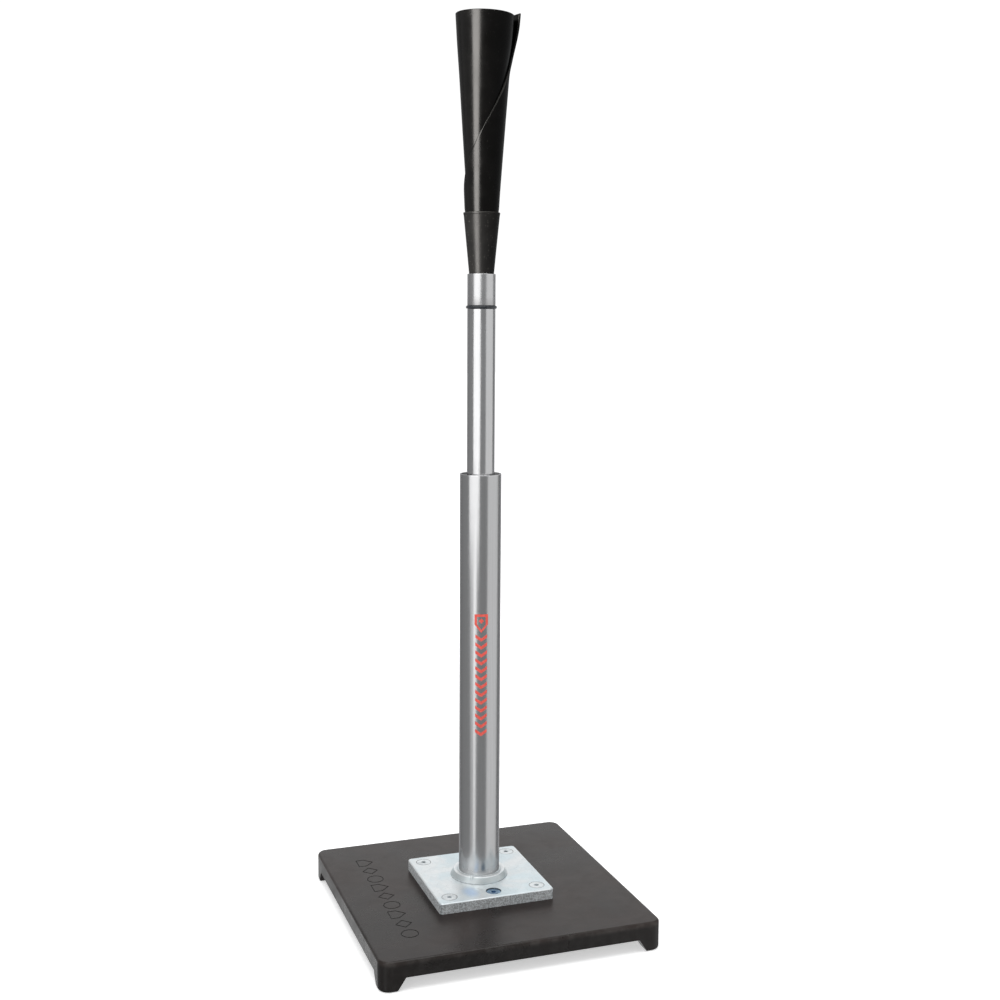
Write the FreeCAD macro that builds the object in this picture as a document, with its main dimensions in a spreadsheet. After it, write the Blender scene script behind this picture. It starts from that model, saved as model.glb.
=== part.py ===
import FreeCAD, Part
import os

import Sketcher

# Batting tee, in millimetres. +Z is up, the origin is the middle of the base on the floor,
# and the side with the fifth screw faces -Y.

SIZES = (
    ("base_side", 260, "side of the square rubber base"),
    ("base_corner_radius", 10, "rounded upright corners of the base"),
    ("base_edge_radius", 2.5, "rounding of the base's top and bottom edges"),
    ("slab_thickness", 15, "rubber slab between the feet and the plate"),
    ("foot_height", 12, "floor to the underside of the slab"),
    ("foot_width", 14.5, "each foot's width where it meets the floor"),
    ("foot_flare", 8, "how much wider a foot is where it meets the slab"),
    ("mark_size", 16, "each shape sunk in the slab's top"),
    ("mark_pitch", 20.5, "from one sunk shape to the next"),
    ("mark_edge_distance", 39, "from the base's left side to the row of shapes"),
    ("mark_line", 1.1, "width of a sunk line"),
    ("mark_depth", 0.5, "depth of a sunk line"),
    ("plate_side", 110, "side of the square steel plate"),
    ("plate_thickness", 10, "thickness of the steel plate"),
    ("plate_corner_radius", 3.5, "rounded upright corners of the plate"),
    ("plate_bevel", 0.8, "bevel round the plate's top edge"),
    ("screw_spacing", 85, "distance between neighbouring corner screws"),
    ("screw_diameter", 6.35, "shank of every screw and of the stud"),
    ("screw_head_diameter", 13.5, "countersunk head"),
    ("screw_head_height", 4.1, "depth of the countersunk head"),
    ("screw_socket_width", 4, "across the flats of a countersunk screw's socket"),
    ("screw_socket_depth", 2.4, "depth of a countersunk screw's socket"),
    ("screw_tail", 1.2, "thread that stands out past a nut"),
    ("screw_clearance", 0.25, "gap round a shank in a drilled hole"),
    ("front_screw_recess", 0.8, "how far the front screw sits below the plate's top"),
    ("nut_pocket_diameter", 19, "pocket in the slab's underside for a washer"),
    ("nut_pocket_depth", 3, "depth of that pocket"),
    ("washer_diameter", 16, "flat washers"),
    ("washer_thickness", 1.6, "flat washers"),
    ("nut_width", 11.1, "across the flats of a nut"),
    ("nut_height", 7.9, "height of a lock nut"),
    ("insert_diameter", 9, "nylon ring in a lock nut"),
    ("insert_height", 2.3, "nylon ring in a lock nut"),
    ("collar_diameter", 53, "weld collar where it meets the plate"),
    ("collar_top_diameter", 47.7, "weld collar's upper rim"),
    ("collar_height", 6, "weld collar"),
    ("collar_side", 1.4, "upright part of the collar's side"),
    ("collar_dish", 0.8, "how far the collar's top dips towards the tube"),
    ("outer_tube_diameter", 38.1, "outer tube, outside"),
    ("outer_tube_wall", 1.65, "outer tube wall"),
    ("outer_tube_length", 393, "outer tube, from the slab to its rim"),
    ("bottom_plug_height", 12, "rubber plug that closes the outer tube"),
    ("bush_length", 25, "guide bush in the mouth of the outer tube"),
    ("bush_recess", 1.5, "outer tube's rim above the guide bush"),
    ("running_gap", 0.1, "radial gap of each piece that slides or turns in a bore"),
    ("inner_tube_diameter", 25.4, "inner tube, outside"),
    ("inner_tube_wall", 1.65, "inner tube wall"),
    ("inner_tube_length", 372, "inner tube"),
    ("tube_extension", 149, "inner tube above the outer tube's rim, as set"),
    ("brake_length", 30, "rubber brake sleeve"),
    ("brake_end_gap", 0.3, "axial gap at each end of the brake sleeve"),
    ("brake_metal_gap", 0.6, "radial gap of the brake's ring and cap in the outer tube"),
    ("brake_ring_height", 8, "ring above the brake sleeve"),
    ("cap_flange", 4, "flange of the end cap below the brake sleeve"),
    ("cap_plug_height", 10, "part of the end cap inside the inner tube"),
    ("cap_counterbore_diameter", 13, "recess of the brake screw's head"),
    ("cap_counterbore_depth", 7.6, "recess of the brake screw's head"),
    ("brake_washer_diameter", 12.4, "washer under the brake screw's head"),
    ("brake_washer_thickness", 1.2, "washer under the brake screw's head"),
    ("brake_head_diameter", 9.5, "brake screw's head"),
    ("brake_head_height", 6.2, "brake screw's head"),
    ("brake_socket_width", 4.8, "across the flats of the brake screw's socket"),
    ("brake_socket_depth", 3.2, "brake screw's socket"),
    ("brake_adjustment", 6, "room left for tightening between end cap and anchor"),
    ("anchor_length", 26, "anchor plug that the brake screw threads into"),
    ("anchor_pin_diameter", 4, "pin through brake ring, tube and anchor plug"),
    ("anchor_web", 1, "anchor plug left between its thread and the pin"),
    ("spigot_clearance", 0.05, "radial gap of the spigot in the inner tube"),
    ("spigot_length", 30, "part of the ferrule inside the inner tube"),
    ("ring_section", 3, "thickness of the rubber ring"),
    ("ring_clearance", 0.1, "rubber ring above the inner tube's end"),
    ("ferrule_length", 28, "visible part of the ferrule"),
    ("ferrule_wall", 1.5, "wall of the ferrule's cup"),
    ("ferrule_floor", 6, "solid floor of the ferrule's cup"),
    ("stud_thread_depth", 18, "stud inside the ferrule"),
    ("sleeve_height", 54, "neck sleeve above the ferrule"),
    ("sleeve_top_diameter", 32.9, "neck sleeve's upper rim"),
    ("sleeve_wall", 1.2, "neck sleeve round the rolled cone"),
    ("sleeve_floor", 2, "neck sleeve's floor above the ferrule's rim"),
    ("cone_length", 225, "rolled cone, foot to rim"),
    ("cone_rim_diameter", 52.6, "rolled cone's rim, outside"),
    ("cone_wall", 4, "two layers of the rolled sheet"),
    ("cone_flare_radius", 3700, "hollow curve of the cone's side"),
    ("wedge_height", 48, "wedge that spreads the cone's foot"),
    ("wedge_ledge", 1.86, "top of the wedge left bare round the stem washer"),
    ("stem_nut_height", 5.6, "nut on the stud"),
)

CORNER_COUNT = 4
MARK_KINDS = 3
MARK_REPEATS = 3
FULL_TURN = 360
NUT_SIDES = ((2, 0), (1, 1), (-1, 1), (-2, 0), (-1, -1), (1, -1))

# Radii
SHANK = "Sizes.screw_diameter / 2"
HOLE = "(Sizes.screw_diameter / 2 + Sizes.screw_clearance)"
OUTER_TUBE = "Sizes.outer_tube_diameter / 2"
OUTER_BORE = "(Sizes.outer_tube_diameter / 2 - Sizes.outer_tube_wall)"
INNER_TUBE = "Sizes.inner_tube_diameter / 2"
INNER_BORE = "(Sizes.inner_tube_diameter / 2 - Sizes.inner_tube_wall)"
BRAKE_METAL = f"({OUTER_BORE} - Sizes.brake_metal_gap)"
SPIGOT = f"({INNER_BORE} - Sizes.spigot_clearance)"
FERRULE_BORE = f"({INNER_TUBE} - Sizes.ferrule_wall)"
NECK_SLOPE = f"((Sizes.sleeve_top_diameter / 2 - {FERRULE_BORE}) / Sizes.sleeve_height)"
CONE_FOOT = f"({FERRULE_BORE} + {NECK_SLOPE} * Sizes.sleeve_floor - Sizes.sleeve_wall)"
CONE_NECK = "(Sizes.sleeve_top_diameter / 2 - Sizes.sleeve_wall)"

# Heights above the floor
SLAB_TOP = "(Sizes.foot_height + Sizes.slab_thickness)"
PLATE_TOP = f"({SLAB_TOP} + Sizes.plate_thickness)"
NUT_SEAT = "(Sizes.foot_height + Sizes.nut_pocket_depth)"
WASHER_BOTTOM = f"({NUT_SEAT} - Sizes.washer_thickness)"
NUT_BOTTOM = f"({WASHER_BOTTOM} - Sizes.nut_height)"
OUTER_TOP = f"({SLAB_TOP} + Sizes.outer_tube_length)"
BUSH_BOTTOM = f"({OUTER_TOP} - Sizes.bush_recess - Sizes.bush_length)"
INNER_TOP = f"({OUTER_TOP} + Sizes.tube_extension)"
INNER_BOTTOM = f"({INNER_TOP} - Sizes.inner_tube_length)"
CAP_BOTTOM = f"({INNER_BOTTOM} - Sizes.cap_flange)"
BRAKE_BOTTOM = f"({INNER_BOTTOM} + Sizes.brake_end_gap)"
RING_BOTTOM = f"({BRAKE_BOTTOM} + Sizes.brake_length + Sizes.brake_end_gap)"
PIN_HEIGHT = f"({RING_BOTTOM} + Sizes.brake_ring_height / 2)"
HEAD_TOP = f"({CAP_BOTTOM} + Sizes.cap_counterbore_depth - Sizes.brake_washer_thickness)"
ANCHOR_BOTTOM = f"({INNER_BOTTOM} + Sizes.cap_plug_height + Sizes.brake_adjustment)"
THREAD_TOP = f"({PIN_HEIGHT} - Sizes.anchor_pin_diameter / 2 - Sizes.anchor_web)"
SPIGOT_BOTTOM = f"({INNER_TOP} - Sizes.spigot_length)"
SHOULDER = f"({INNER_TOP} + Sizes.ring_clearance + Sizes.ring_section)"
CUP_FLOOR = f"({SHOULDER} + Sizes.ferrule_floor)"
FERRULE_TOP = f"({SHOULDER} + Sizes.ferrule_length)"
CONE_BOTTOM = f"({FERRULE_TOP} + Sizes.sleeve_floor)"
WEDGE_TOP = f"({CONE_BOTTOM} + Sizes.wedge_height)"
STEM_NUT_BOTTOM = f"({WEDGE_TOP} + Sizes.washer_thickness)"
STUD_BOTTOM = f"({CUP_FLOOR} - Sizes.stud_thread_depth)"
STUD_TOP = f"({STEM_NUT_BOTTOM} + Sizes.stem_nut_height + Sizes.screw_tail)"

doc = FreeCAD.newDocument("batting_tee")
subparts = []


def write_sizes():
    sheet = doc.addObject("Spreadsheet::Sheet", "Sizes")
    for row, (alias, value, meaning) in enumerate(SIZES, start=1):
        sheet.set(f"A{row}", meaning)
        sheet.set(f"B{row}", str(value))
        sheet.setAlias(f"B{row}", alias)
    doc.recompute()
    return sheet


sizes = write_sizes()


def value_of(expression):
    return float(sizes.evalExpression(expression))


# Drawing and feature helpers


def origin_feature(body, role):
    for feature in body.Origin.OriginFeatures:
        if feature.Role == role:
            return feature
    raise ValueError(f"{body.Label} has no {role}")


def add_body(label, height="0"):
    """A body that becomes the sub-part called label, with its own origin at height."""
    body = doc.addObject("PartDesign::Body", label)
    body.Label = label
    body.AllowCompound = True
    body.setExpression("Placement.Base.z", height)
    subparts.append(body)
    return body


def add_sketch(body, plane, shift=("0", "0", "0")):
    """A sketch on one of the body's origin planes, its own origin moved by shift."""
    sketch = body.newObject("Sketcher::SketchObject", f"{body.Label}_outline")
    sketch.AttachmentSupport = [(origin_feature(body, plane), "")]
    sketch.MapMode = "FlatFace"
    for axis, expression in zip("xyz", shift):
        sketch.setExpression(f"AttachmentOffset.Base.{axis}", expression)
    return sketch


def set_coordinate(sketch, kind, axis, vertex, expression):
    """Tie one coordinate of a vertex, (geometry, end), to an expression."""
    geometry, end = vertex
    if expression == "0":
        sketch.addConstraint(Sketcher.Constraint("PointOnObject", geometry, end, axis))
        return
    distance = value_of(expression)
    number = sketch.addConstraint(Sketcher.Constraint(kind, -1, 1, geometry, end, distance))
    sketch.setExpression(f"Constraints[{number}]", expression)


def draw_outline(sketch, corners, arcs=None):
    """Closed outline through corners, pairs of expressions. arcs gives, for a side's number,
    the expressions of its radius and of a point that the arc passes near."""
    arcs = arcs or {}
    points = [FreeCAD.Vector(value_of(x), value_of(y), 0) for x, y in corners]
    ends = []
    for side, start in enumerate(points):
        finish = points[(side + 1) % len(points)]
        if side in arcs:
            radius, (near_x, near_y) = arcs[side]
            middle = FreeCAD.Vector(value_of(near_x), value_of(near_y), 0)
            geometry = sketch.addGeometry(Part.Arc(start, middle, finish))
            forward = sketch.getPoint(geometry, 1).distanceToPoint(start) < 1e-6
            ends.append((geometry, 1, 2) if forward else (geometry, 2, 1))
            number = sketch.addConstraint(Sketcher.Constraint("Radius", geometry, value_of(radius)))
            sketch.setExpression(f"Constraints[{number}]", radius)
        else:
            geometry = sketch.addGeometry(Part.LineSegment(start, finish))
            ends.append((geometry, 1, 2))
    for side, (geometry, _, last) in enumerate(ends):
        following, first, _ = ends[(side + 1) % len(ends)]
        sketch.addConstraint(Sketcher.Constraint("Coincident", geometry, last, following, first))
    for (geometry, first, _), (x, y) in zip(ends, corners):
        set_coordinate(sketch, "DistanceX", -2, (geometry, first), x)
        set_coordinate(sketch, "DistanceY", -1, (geometry, first), y)


def draw_circle(sketch, radius):
    circle = Part.Circle(FreeCAD.Vector(0, 0, 0), FreeCAD.Vector(0, 0, 1), value_of(radius))
    geometry = sketch.addGeometry(circle)
    sketch.addConstraint(Sketcher.Constraint("Coincident", geometry, 3, -1, 1))
    number = sketch.addConstraint(Sketcher.Constraint("Radius", geometry, value_of(radius)))
    sketch.setExpression(f"Constraints[{number}]", radius)


def draw_square(sketch, side):
    half = f"{side} / 2"
    back = f"-{side} / 2"
    draw_outline(sketch, ((back, back), (half, back), (half, half), (back, half)))


def draw_hexagon(sketch, width):
    """A hexagon of this width across its flats."""
    corners = []
    for across, up in NUT_SIDES:
        corners.append((f"{across} * {width} / 2 / sqrt(3)", "0" if up == 0 else f"{up} * {width} / 2"))
    draw_outline(sketch, corners)


def sweep_round(body, sketch, kind="Revolution"):
    """Turn an outline about its own upright axis: a Revolution adds it, a Groove cuts it."""
    feature = body.newObject(f"PartDesign::{kind}", f"{body.Label}_{kind.lower()}")
    feature.Profile = sketch
    feature.ReferenceAxis = (sketch, ["V_Axis"])
    feature.Angle = FULL_TURN
    body.Tip = feature
    return feature


def pad(body, sketch, length):
    feature = body.newObject("PartDesign::Pad", f"{body.Label}_pad")
    feature.Profile = sketch
    feature.setExpression("Length", length)
    body.Tip = feature
    return feature


def pocket(body, sketch, depth=None, upwards=False):
    """Cut an outline to a depth or, with no depth, right through both ways."""
    feature = body.newObject("PartDesign::Pocket", f"{body.Label}_pocket")
    feature.Profile = sketch
    feature.Reversed = upwards
    if depth is None:
        feature.Type = "ThroughAll"
        feature.Midplane = True
    else:
        feature.setExpression("Length", depth)
    body.Tip = feature
    return feature


def repeat_at_corners(body, features):
    pattern = body.newObject("PartDesign::PolarPattern", f"{body.Label}_pattern")
    pattern.Originals = features
    pattern.Axis = (origin_feature(body, "Z_Axis"), [""])
    pattern.Angle = FULL_TURN
    pattern.Occurrences = CORNER_COUNT
    body.Tip = pattern
    return pattern


def repeat_along_y(body, feature, step, count):
    pattern = body.newObject("PartDesign::LinearPattern", f"{body.Label}_row")
    pattern.Originals = [feature]
    pattern.Direction = (origin_feature(body, "Y_Axis"), [""])
    pattern.Occurrences = count
    pattern.setExpression("Length", f"{step} * {count - 1}")
    body.Tip = pattern
    return pattern


def edges_where(feature, wanted):
    """Names of a feature's edges whose bounding box passes the test."""
    doc.recompute()
    names = []
    for number, edge in enumerate(feature.Shape.Edges, start=1):
        if wanted(edge.BoundBox):
            names.append(f"Edge{number}")
    return names


def dress_edges(body, base, kind, size, wanted):
    """Round (Fillet) or bevel (Chamfer) the edges that pass the test."""
    feature = body.newObject(f"PartDesign::{kind}", f"{body.Label}_{kind.lower()}")
    feature.Base = (base, edges_where(base, wanted))
    feature.setExpression("Radius" if kind == "Fillet" else "Size", size)
    body.Tip = feature
    return feature


def upright(box):
    return box.XLength + box.YLength < 1e-6


def level_at(height):
    def wanted(box):
        return box.ZLength < 1e-6 and abs(box.ZMin - height) < 1e-6

    return wanted


def add_round_piece(label, height, corners, arcs=None):
    """A sub-part turned about the tee's axis from one outline."""
    body = add_body(label, height)
    sketch = add_sketch(body, "XZ_Plane")
    draw_outline(sketch, corners, arcs)
    sweep_round(body, sketch)
    return body


def add_ring(label, height, inner, outer, length):
    return add_round_piece(label, height, ((inner, "0"), (outer, "0"), (outer, length), (inner, length)))


def drill_for_anchor_pin(body, height):
    sketch = add_sketch(body, "YZ_Plane", ("0", height, "0"))
    draw_circle(sketch, "Sizes.anchor_pin_diameter / 2")
    pocket(body, sketch)


# Places of the screws: the first corner one, which the others repeat, and the front one.
# On the XZ plane a sketch's third direction points to the front, on the XY plane it points up.
HALF_SPACING = "Sizes.screw_spacing / 2"
CORNER_UPRIGHT = (HALF_SPACING, "0", HALF_SPACING)
FRONT_UPRIGHT = ("0", "0", HALF_SPACING)


def flat_place(place, height="0"):
    """The same place for a sketch on the XY plane at a height."""
    across, _, forward = place
    return (across, f"-{forward}", height)


def add_fastener_seats(body, outline):
    """Cut one turned outline at the front screw and at each corner."""
    front = add_sketch(body, "XZ_Plane", FRONT_UPRIGHT)
    draw_outline(front, outline)
    sweep_round(body, front, "Groove")
    corner = add_sketch(body, "XZ_Plane", CORNER_UPRIGHT)
    draw_outline(corner, outline)
    repeat_at_corners(body, [sweep_round(body, corner, "Groove")])


# Base


def mark_outlines(inset):
    """A ball, an infield and a home plate, each drawn this far inside its full size."""
    half = "Sizes.mark_size / 2"
    reach = f"({half} - {inset} * sqrt(2))"
    low = f"-{reach}"
    side = f"({half} - {inset})"
    shoulder = f"({inset} * (1 - sqrt(2)))"
    infield = ((reach, "0"), ("0", reach), (low, "0"), ("0", low))
    left = f"-{side}"
    home_plate = ((left, left), (shoulder, left), (reach, "0"), (shoulder, side), (left, side))
    return side, infield, home_plate


def sink_marks(body):
    """A row of outlined shapes along the left side of the slab's top."""
    middle = (MARK_KINDS * MARK_REPEATS - 1) / 2
    across = "(Sizes.mark_edge_distance - Sizes.base_side / 2)"
    for kind in range(MARK_KINDS):
        along = f"({kind - middle} * Sizes.mark_pitch)"
        sketch = add_sketch(body, "XY_Plane", (across, along, SLAB_TOP))
        for inset in ("0", "Sizes.mark_line"):
            outline = mark_outlines(inset)[kind]
            if kind == 0:
                draw_circle(sketch, outline)
            else:
                draw_outline(sketch, outline)
        cut = pocket(body, sketch, "Sizes.mark_depth")
        repeat_along_y(body, cut, f"{MARK_KINDS} * Sizes.mark_pitch", MARK_REPEATS)


def make_rubber_base():
    body = add_body("rubber_base")
    plan = add_sketch(body, "XY_Plane")
    draw_square(plan, "Sizes.base_side")
    block = pad(body, plan, SLAB_TOP)
    rounded = dress_edges(body, block, "Fillet", "Sizes.base_corner_radius", upright)
    top = value_of(SLAB_TOP)
    eased = dress_edges(body, rounded, "Fillet", "Sizes.base_edge_radius", level_at(top))
    dress_edges(body, eased, "Fillet", "Sizes.base_edge_radius", level_at(0))
    low = "(Sizes.base_side / 2 - Sizes.foot_width)"
    high = f"({low} - Sizes.foot_flare)"
    gap = ((f"-{low}", "0"), (low, "0"), (high, "Sizes.foot_height"), (f"-{high}", "Sizes.foot_height"))
    for plane in ("XZ_Plane", "YZ_Plane"):
        between_feet = add_sketch(body, plane)
        draw_outline(between_feet, gap)
        pocket(body, between_feet)
    pocket_radius = "Sizes.nut_pocket_diameter / 2"
    seat = (
        ("0", "Sizes.foot_height"),
        (pocket_radius, "Sizes.foot_height"),
        (pocket_radius, NUT_SEAT),
        (HOLE, NUT_SEAT),
        (HOLE, SLAB_TOP),
        ("0", SLAB_TOP),
    )
    add_fastener_seats(body, seat)
    sink_marks(body)


def make_mounting_plate():
    body = add_body("mounting_plate", SLAB_TOP)
    plan = add_sketch(body, "XY_Plane")
    draw_square(plan, "Sizes.plate_side")
    block = pad(body, plan, "Sizes.plate_thickness")
    rounded = dress_edges(body, block, "Fillet", "Sizes.plate_corner_radius", upright)
    top = value_of("Sizes.plate_thickness")
    dress_edges(body, rounded, "Chamfer", "Sizes.plate_bevel", level_at(top))
    tube_hole = add_sketch(body, "XY_Plane")
    draw_circle(tube_hole, OUTER_TUBE)
    pocket(body, tube_hole)
    for place, recess in ((CORNER_UPRIGHT, "0"), (FRONT_UPRIGHT, "Sizes.front_screw_recess")):
        mouth = "(Sizes.screw_head_diameter / 2 + Sizes.screw_clearance)"
        rim = f"(Sizes.plate_thickness - {recess})"
        throat = f"({rim} - Sizes.screw_head_height)"
        outline = [("0", "0"), (HOLE, "0"), (HOLE, throat), (mouth, rim)]
        if recess != "0":
            outline.append((mouth, "Sizes.plate_thickness"))
        outline.append(("0", "Sizes.plate_thickness"))
        sketch = add_sketch(body, "XZ_Plane", place)
        draw_outline(sketch, outline)
        seat = sweep_round(body, sketch, "Groove")
        if place is CORNER_UPRIGHT:
            repeat_at_corners(body, [seat])


def make_weld_collar():
    rim = "Sizes.collar_top_diameter / 2"
    foot = "Sizes.collar_diameter / 2"
    corners = (
        (OUTER_TUBE, "0"),
        (foot, "0"),
        (foot, "Sizes.collar_side"),
        (rim, "Sizes.collar_height"),
        (OUTER_TUBE, "(Sizes.collar_height - Sizes.collar_dish)"),
    )
    add_round_piece("weld_collar", PLATE_TOP, corners)


def make_countersunk_screws(label, place, recess):
    """Screws through plate and slab, with their heads at the plate's top less the recess."""
    body = add_body(label, f"({NUT_BOTTOM} - Sizes.screw_tail)")
    length = f"({PLATE_TOP} - {recess} - {NUT_BOTTOM} + Sizes.screw_tail)"
    head = "Sizes.screw_head_diameter / 2"
    corners = (
        ("0", "0"),
        (SHANK, "0"),
        (SHANK, f"({length} - Sizes.screw_head_height)"),
        (head, length),
        ("0", length),
    )
    sketch = add_sketch(body, "XZ_Plane", place)
    draw_outline(sketch, corners)
    shank = sweep_round(body, sketch)
    socket_outline = add_sketch(body, "XY_Plane", flat_place(place, length))
    draw_hexagon(socket_outline, "Sizes.screw_socket_width")
    socket = pocket(body, socket_outline, "Sizes.screw_socket_depth")
    if place is CORNER_UPRIGHT:
        repeat_at_corners(body, [shank, socket])


def make_base_washers():
    body = add_body("base_washers", WASHER_BOTTOM)
    rim = "Sizes.washer_diameter / 2"
    top = "Sizes.washer_thickness"
    for place in (FRONT_UPRIGHT, CORNER_UPRIGHT):
        sketch = add_sketch(body, "XZ_Plane", place)
        draw_outline(sketch, ((HOLE, "0"), (rim, "0"), (rim, top), (HOLE, top)))
        washer = sweep_round(body, sketch)
    repeat_at_corners(body, [washer])


def make_base_nuts():
    """Lock nuts, each with a wider bore at its free end for the nylon ring."""
    body = add_body("base_nuts", NUT_BOTTOM)
    for place in (FRONT_UPRIGHT, CORNER_UPRIGHT):
        outline = add_sketch(body, "XY_Plane", flat_place(place))
        draw_hexagon(outline, "Sizes.nut_width")
        blank = pad(body, outline, "Sizes.nut_height")
        bore = add_sketch(body, "XZ_Plane", place)
        insert = "Sizes.insert_diameter / 2"
        corners = (
            ("0", "0"),
            (insert, "0"),
            (insert, "Sizes.insert_height"),
            (SHANK, "Sizes.insert_height"),
            (SHANK, "Sizes.nut_height"),
            ("0", "Sizes.nut_height"),
        )
        draw_outline(bore, corners)
        thread = sweep_round(body, bore, "Groove")
    repeat_at_corners(body, [blank, thread])


def make_nut_inserts():
    body = add_body("nut_inserts", NUT_BOTTOM)
    rim = "Sizes.insert_diameter / 2"
    top = "Sizes.insert_height"
    for place in (FRONT_UPRIGHT, CORNER_UPRIGHT):
        sketch = add_sketch(body, "XZ_Plane", place)
        draw_outline(sketch, ((SHANK, "0"), (rim, "0"), (rim, top), (SHANK, top)))
        ring = sweep_round(body, sketch)
    repeat_at_corners(body, [ring])


def make_post():
    add_ring("outer_tube", SLAB_TOP, OUTER_BORE, OUTER_TUBE, "Sizes.outer_tube_length")
    top = "Sizes.bottom_plug_height"
    plug = (("0", "0"), (OUTER_BORE, "0"), (OUTER_BORE, top), ("0", top))
    add_round_piece("bottom_plug", SLAB_TOP, plug)
    bush_bore = f"({INNER_TUBE} + Sizes.running_gap)"
    add_ring("guide_bush", BUSH_BOTTOM, bush_bore, OUTER_BORE, "Sizes.bush_length")


# Brake and inner tube


def make_brake():
    sleeve_bore = f"({INNER_TUBE} + Sizes.running_gap)"
    sleeve_rim = f"({OUTER_BORE} - Sizes.running_gap)"
    add_ring("brake_sleeve", BRAKE_BOTTOM, sleeve_bore, sleeve_rim, "Sizes.brake_length")
    ring = add_ring("brake_ring", RING_BOTTOM, INNER_TUBE, BRAKE_METAL, "Sizes.brake_ring_height")
    drill_for_anchor_pin(ring, "Sizes.brake_ring_height / 2")


def make_end_cap():
    counterbore = "Sizes.cap_counterbore_diameter / 2"
    top = "(Sizes.cap_flange + Sizes.cap_plug_height)"
    corners = (
        (counterbore, "0"),
        (BRAKE_METAL, "0"),
        (BRAKE_METAL, "Sizes.cap_flange"),
        (INNER_BORE, "Sizes.cap_flange"),
        (INNER_BORE, top),
        (HOLE, top),
        (HOLE, "Sizes.cap_counterbore_depth"),
        (counterbore, "Sizes.cap_counterbore_depth"),
    )
    add_round_piece("end_cap", CAP_BOTTOM, corners)


def make_brake_screw():
    bottom = f"({HEAD_TOP} - Sizes.brake_head_height)"
    length = f"({THREAD_TOP} - Sizes.brake_end_gap - {bottom})"
    head = "Sizes.brake_head_diameter / 2"
    corners = (
        ("0", "0"),
        (head, "0"),
        (head, "Sizes.brake_head_height"),
        (SHANK, "Sizes.brake_head_height"),
        (SHANK, length),
        ("0", length),
    )
    body = add_round_piece("brake_screw", bottom, corners)
    socket = add_sketch(body, "XY_Plane")
    draw_hexagon(socket, "Sizes.brake_socket_width")
    pocket(body, socket, "Sizes.brake_socket_depth", upwards=True)
    washer_rim = "Sizes.brake_washer_diameter / 2"
    add_ring("brake_washer", HEAD_TOP, HOLE, washer_rim, "Sizes.brake_washer_thickness")


def make_anchor():
    thread = f"({THREAD_TOP} - {ANCHOR_BOTTOM})"
    corners = (
        (SHANK, "0"),
        (INNER_BORE, "0"),
        (INNER_BORE, "Sizes.anchor_length"),
        ("0", "Sizes.anchor_length"),
        ("0", thread),
        (SHANK, thread),
    )
    plug = add_round_piece("anchor_plug", ANCHOR_BOTTOM, corners)
    drill_for_anchor_pin(plug, f"({PIN_HEIGHT} - {ANCHOR_BOTTOM})")
    pin = add_body("anchor_pin", PIN_HEIGHT)
    half_length = f"sqrt({BRAKE_METAL}^2 - Sizes.anchor_pin_diameter^2 / 4)"
    sketch = add_sketch(pin, "YZ_Plane", ("0", "0", f"-{half_length}"))
    draw_circle(sketch, "Sizes.anchor_pin_diameter / 2")
    pad(pin, sketch, f"2 * {half_length}")


def make_inner_tube():
    tube = add_ring("inner_tube", INNER_BOTTOM, INNER_BORE, INNER_TUBE, "Sizes.inner_tube_length")
    drill_for_anchor_pin(tube, f"({PIN_HEIGHT} - {INNER_BOTTOM})")


# Ball rest, which lifts off the inner tube


def make_ferrule():
    shoulder = f"({SHOULDER} - {SPIGOT_BOTTOM})"
    cup = f"({CUP_FLOOR} - {SPIGOT_BOTTOM})"
    top = f"({FERRULE_TOP} - {SPIGOT_BOTTOM})"
    thread = f"({STUD_BOTTOM} - {SPIGOT_BOTTOM})"
    corners = (
        ("0", "0"),
        (SPIGOT, "0"),
        (SPIGOT, shoulder),
        (INNER_TUBE, shoulder),
        (INNER_TUBE, top),
        (FERRULE_BORE, top),
        (FERRULE_BORE, cup),
        (SHANK, cup),
        (SHANK, thread),
        ("0", thread),
    )
    add_round_piece("cone_ferrule", SPIGOT_BOTTOM, corners)


def make_o_ring():
    ring = doc.addObject("Part::Torus", "o_ring")
    ring.Label = "o_ring"
    ring.setExpression("Radius1", f"{SPIGOT} + Sizes.ring_section / 2")
    ring.setExpression("Radius2", "Sizes.ring_section / 2")
    middle = f"{INNER_TOP} + Sizes.ring_clearance + Sizes.ring_section / 2"
    ring.setExpression("Placement.Base.z", middle)
    subparts.append(ring)


def make_neck_sleeve():
    plug = f"({FERRULE_TOP} - {CUP_FLOOR})"
    floor = f"({CONE_BOTTOM} - {CUP_FLOOR})"
    top = f"({plug} + Sizes.sleeve_height)"
    corners = (
        (HOLE, "0"),
        (FERRULE_BORE, "0"),
        (FERRULE_BORE, plug),
        ("Sizes.sleeve_top_diameter / 2", top),
        (CONE_NECK, top),
        (CONE_FOOT, floor),
        (HOLE, floor),
    )
    add_round_piece("neck_sleeve", CUP_FLOOR, corners)


def make_rolled_cone():
    neck = "(Sizes.sleeve_height - Sizes.sleeve_floor)"
    rim = "Sizes.cone_rim_diameter / 2"
    wall = "Sizes.cone_wall"
    corners = (
        (f"({CONE_FOOT} - {wall})", "0"),
        (CONE_FOOT, "0"),
        (CONE_NECK, neck),
        (rim, "Sizes.cone_length"),
        (f"({rim} - {wall})", "Sizes.cone_length"),
        (f"({CONE_NECK} - {wall})", neck),
    )
    middle = f"(({neck} + Sizes.cone_length) / 2)"
    chord = f"sqrt((Sizes.cone_length - {neck})^2 + ({rim} - {CONE_NECK})^2)"
    sag = f"({chord}^2 / 8 / Sizes.cone_flare_radius)"
    waist = f"(({rim} + {CONE_NECK}) / 2 - {sag})"
    arcs = {
        2: ("Sizes.cone_flare_radius", (waist, middle)),
        4: ("Sizes.cone_flare_radius", (f"({waist} - {wall})", middle)),
    }
    add_round_piece("rolled_cone", CONE_BOTTOM, corners, arcs)


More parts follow.
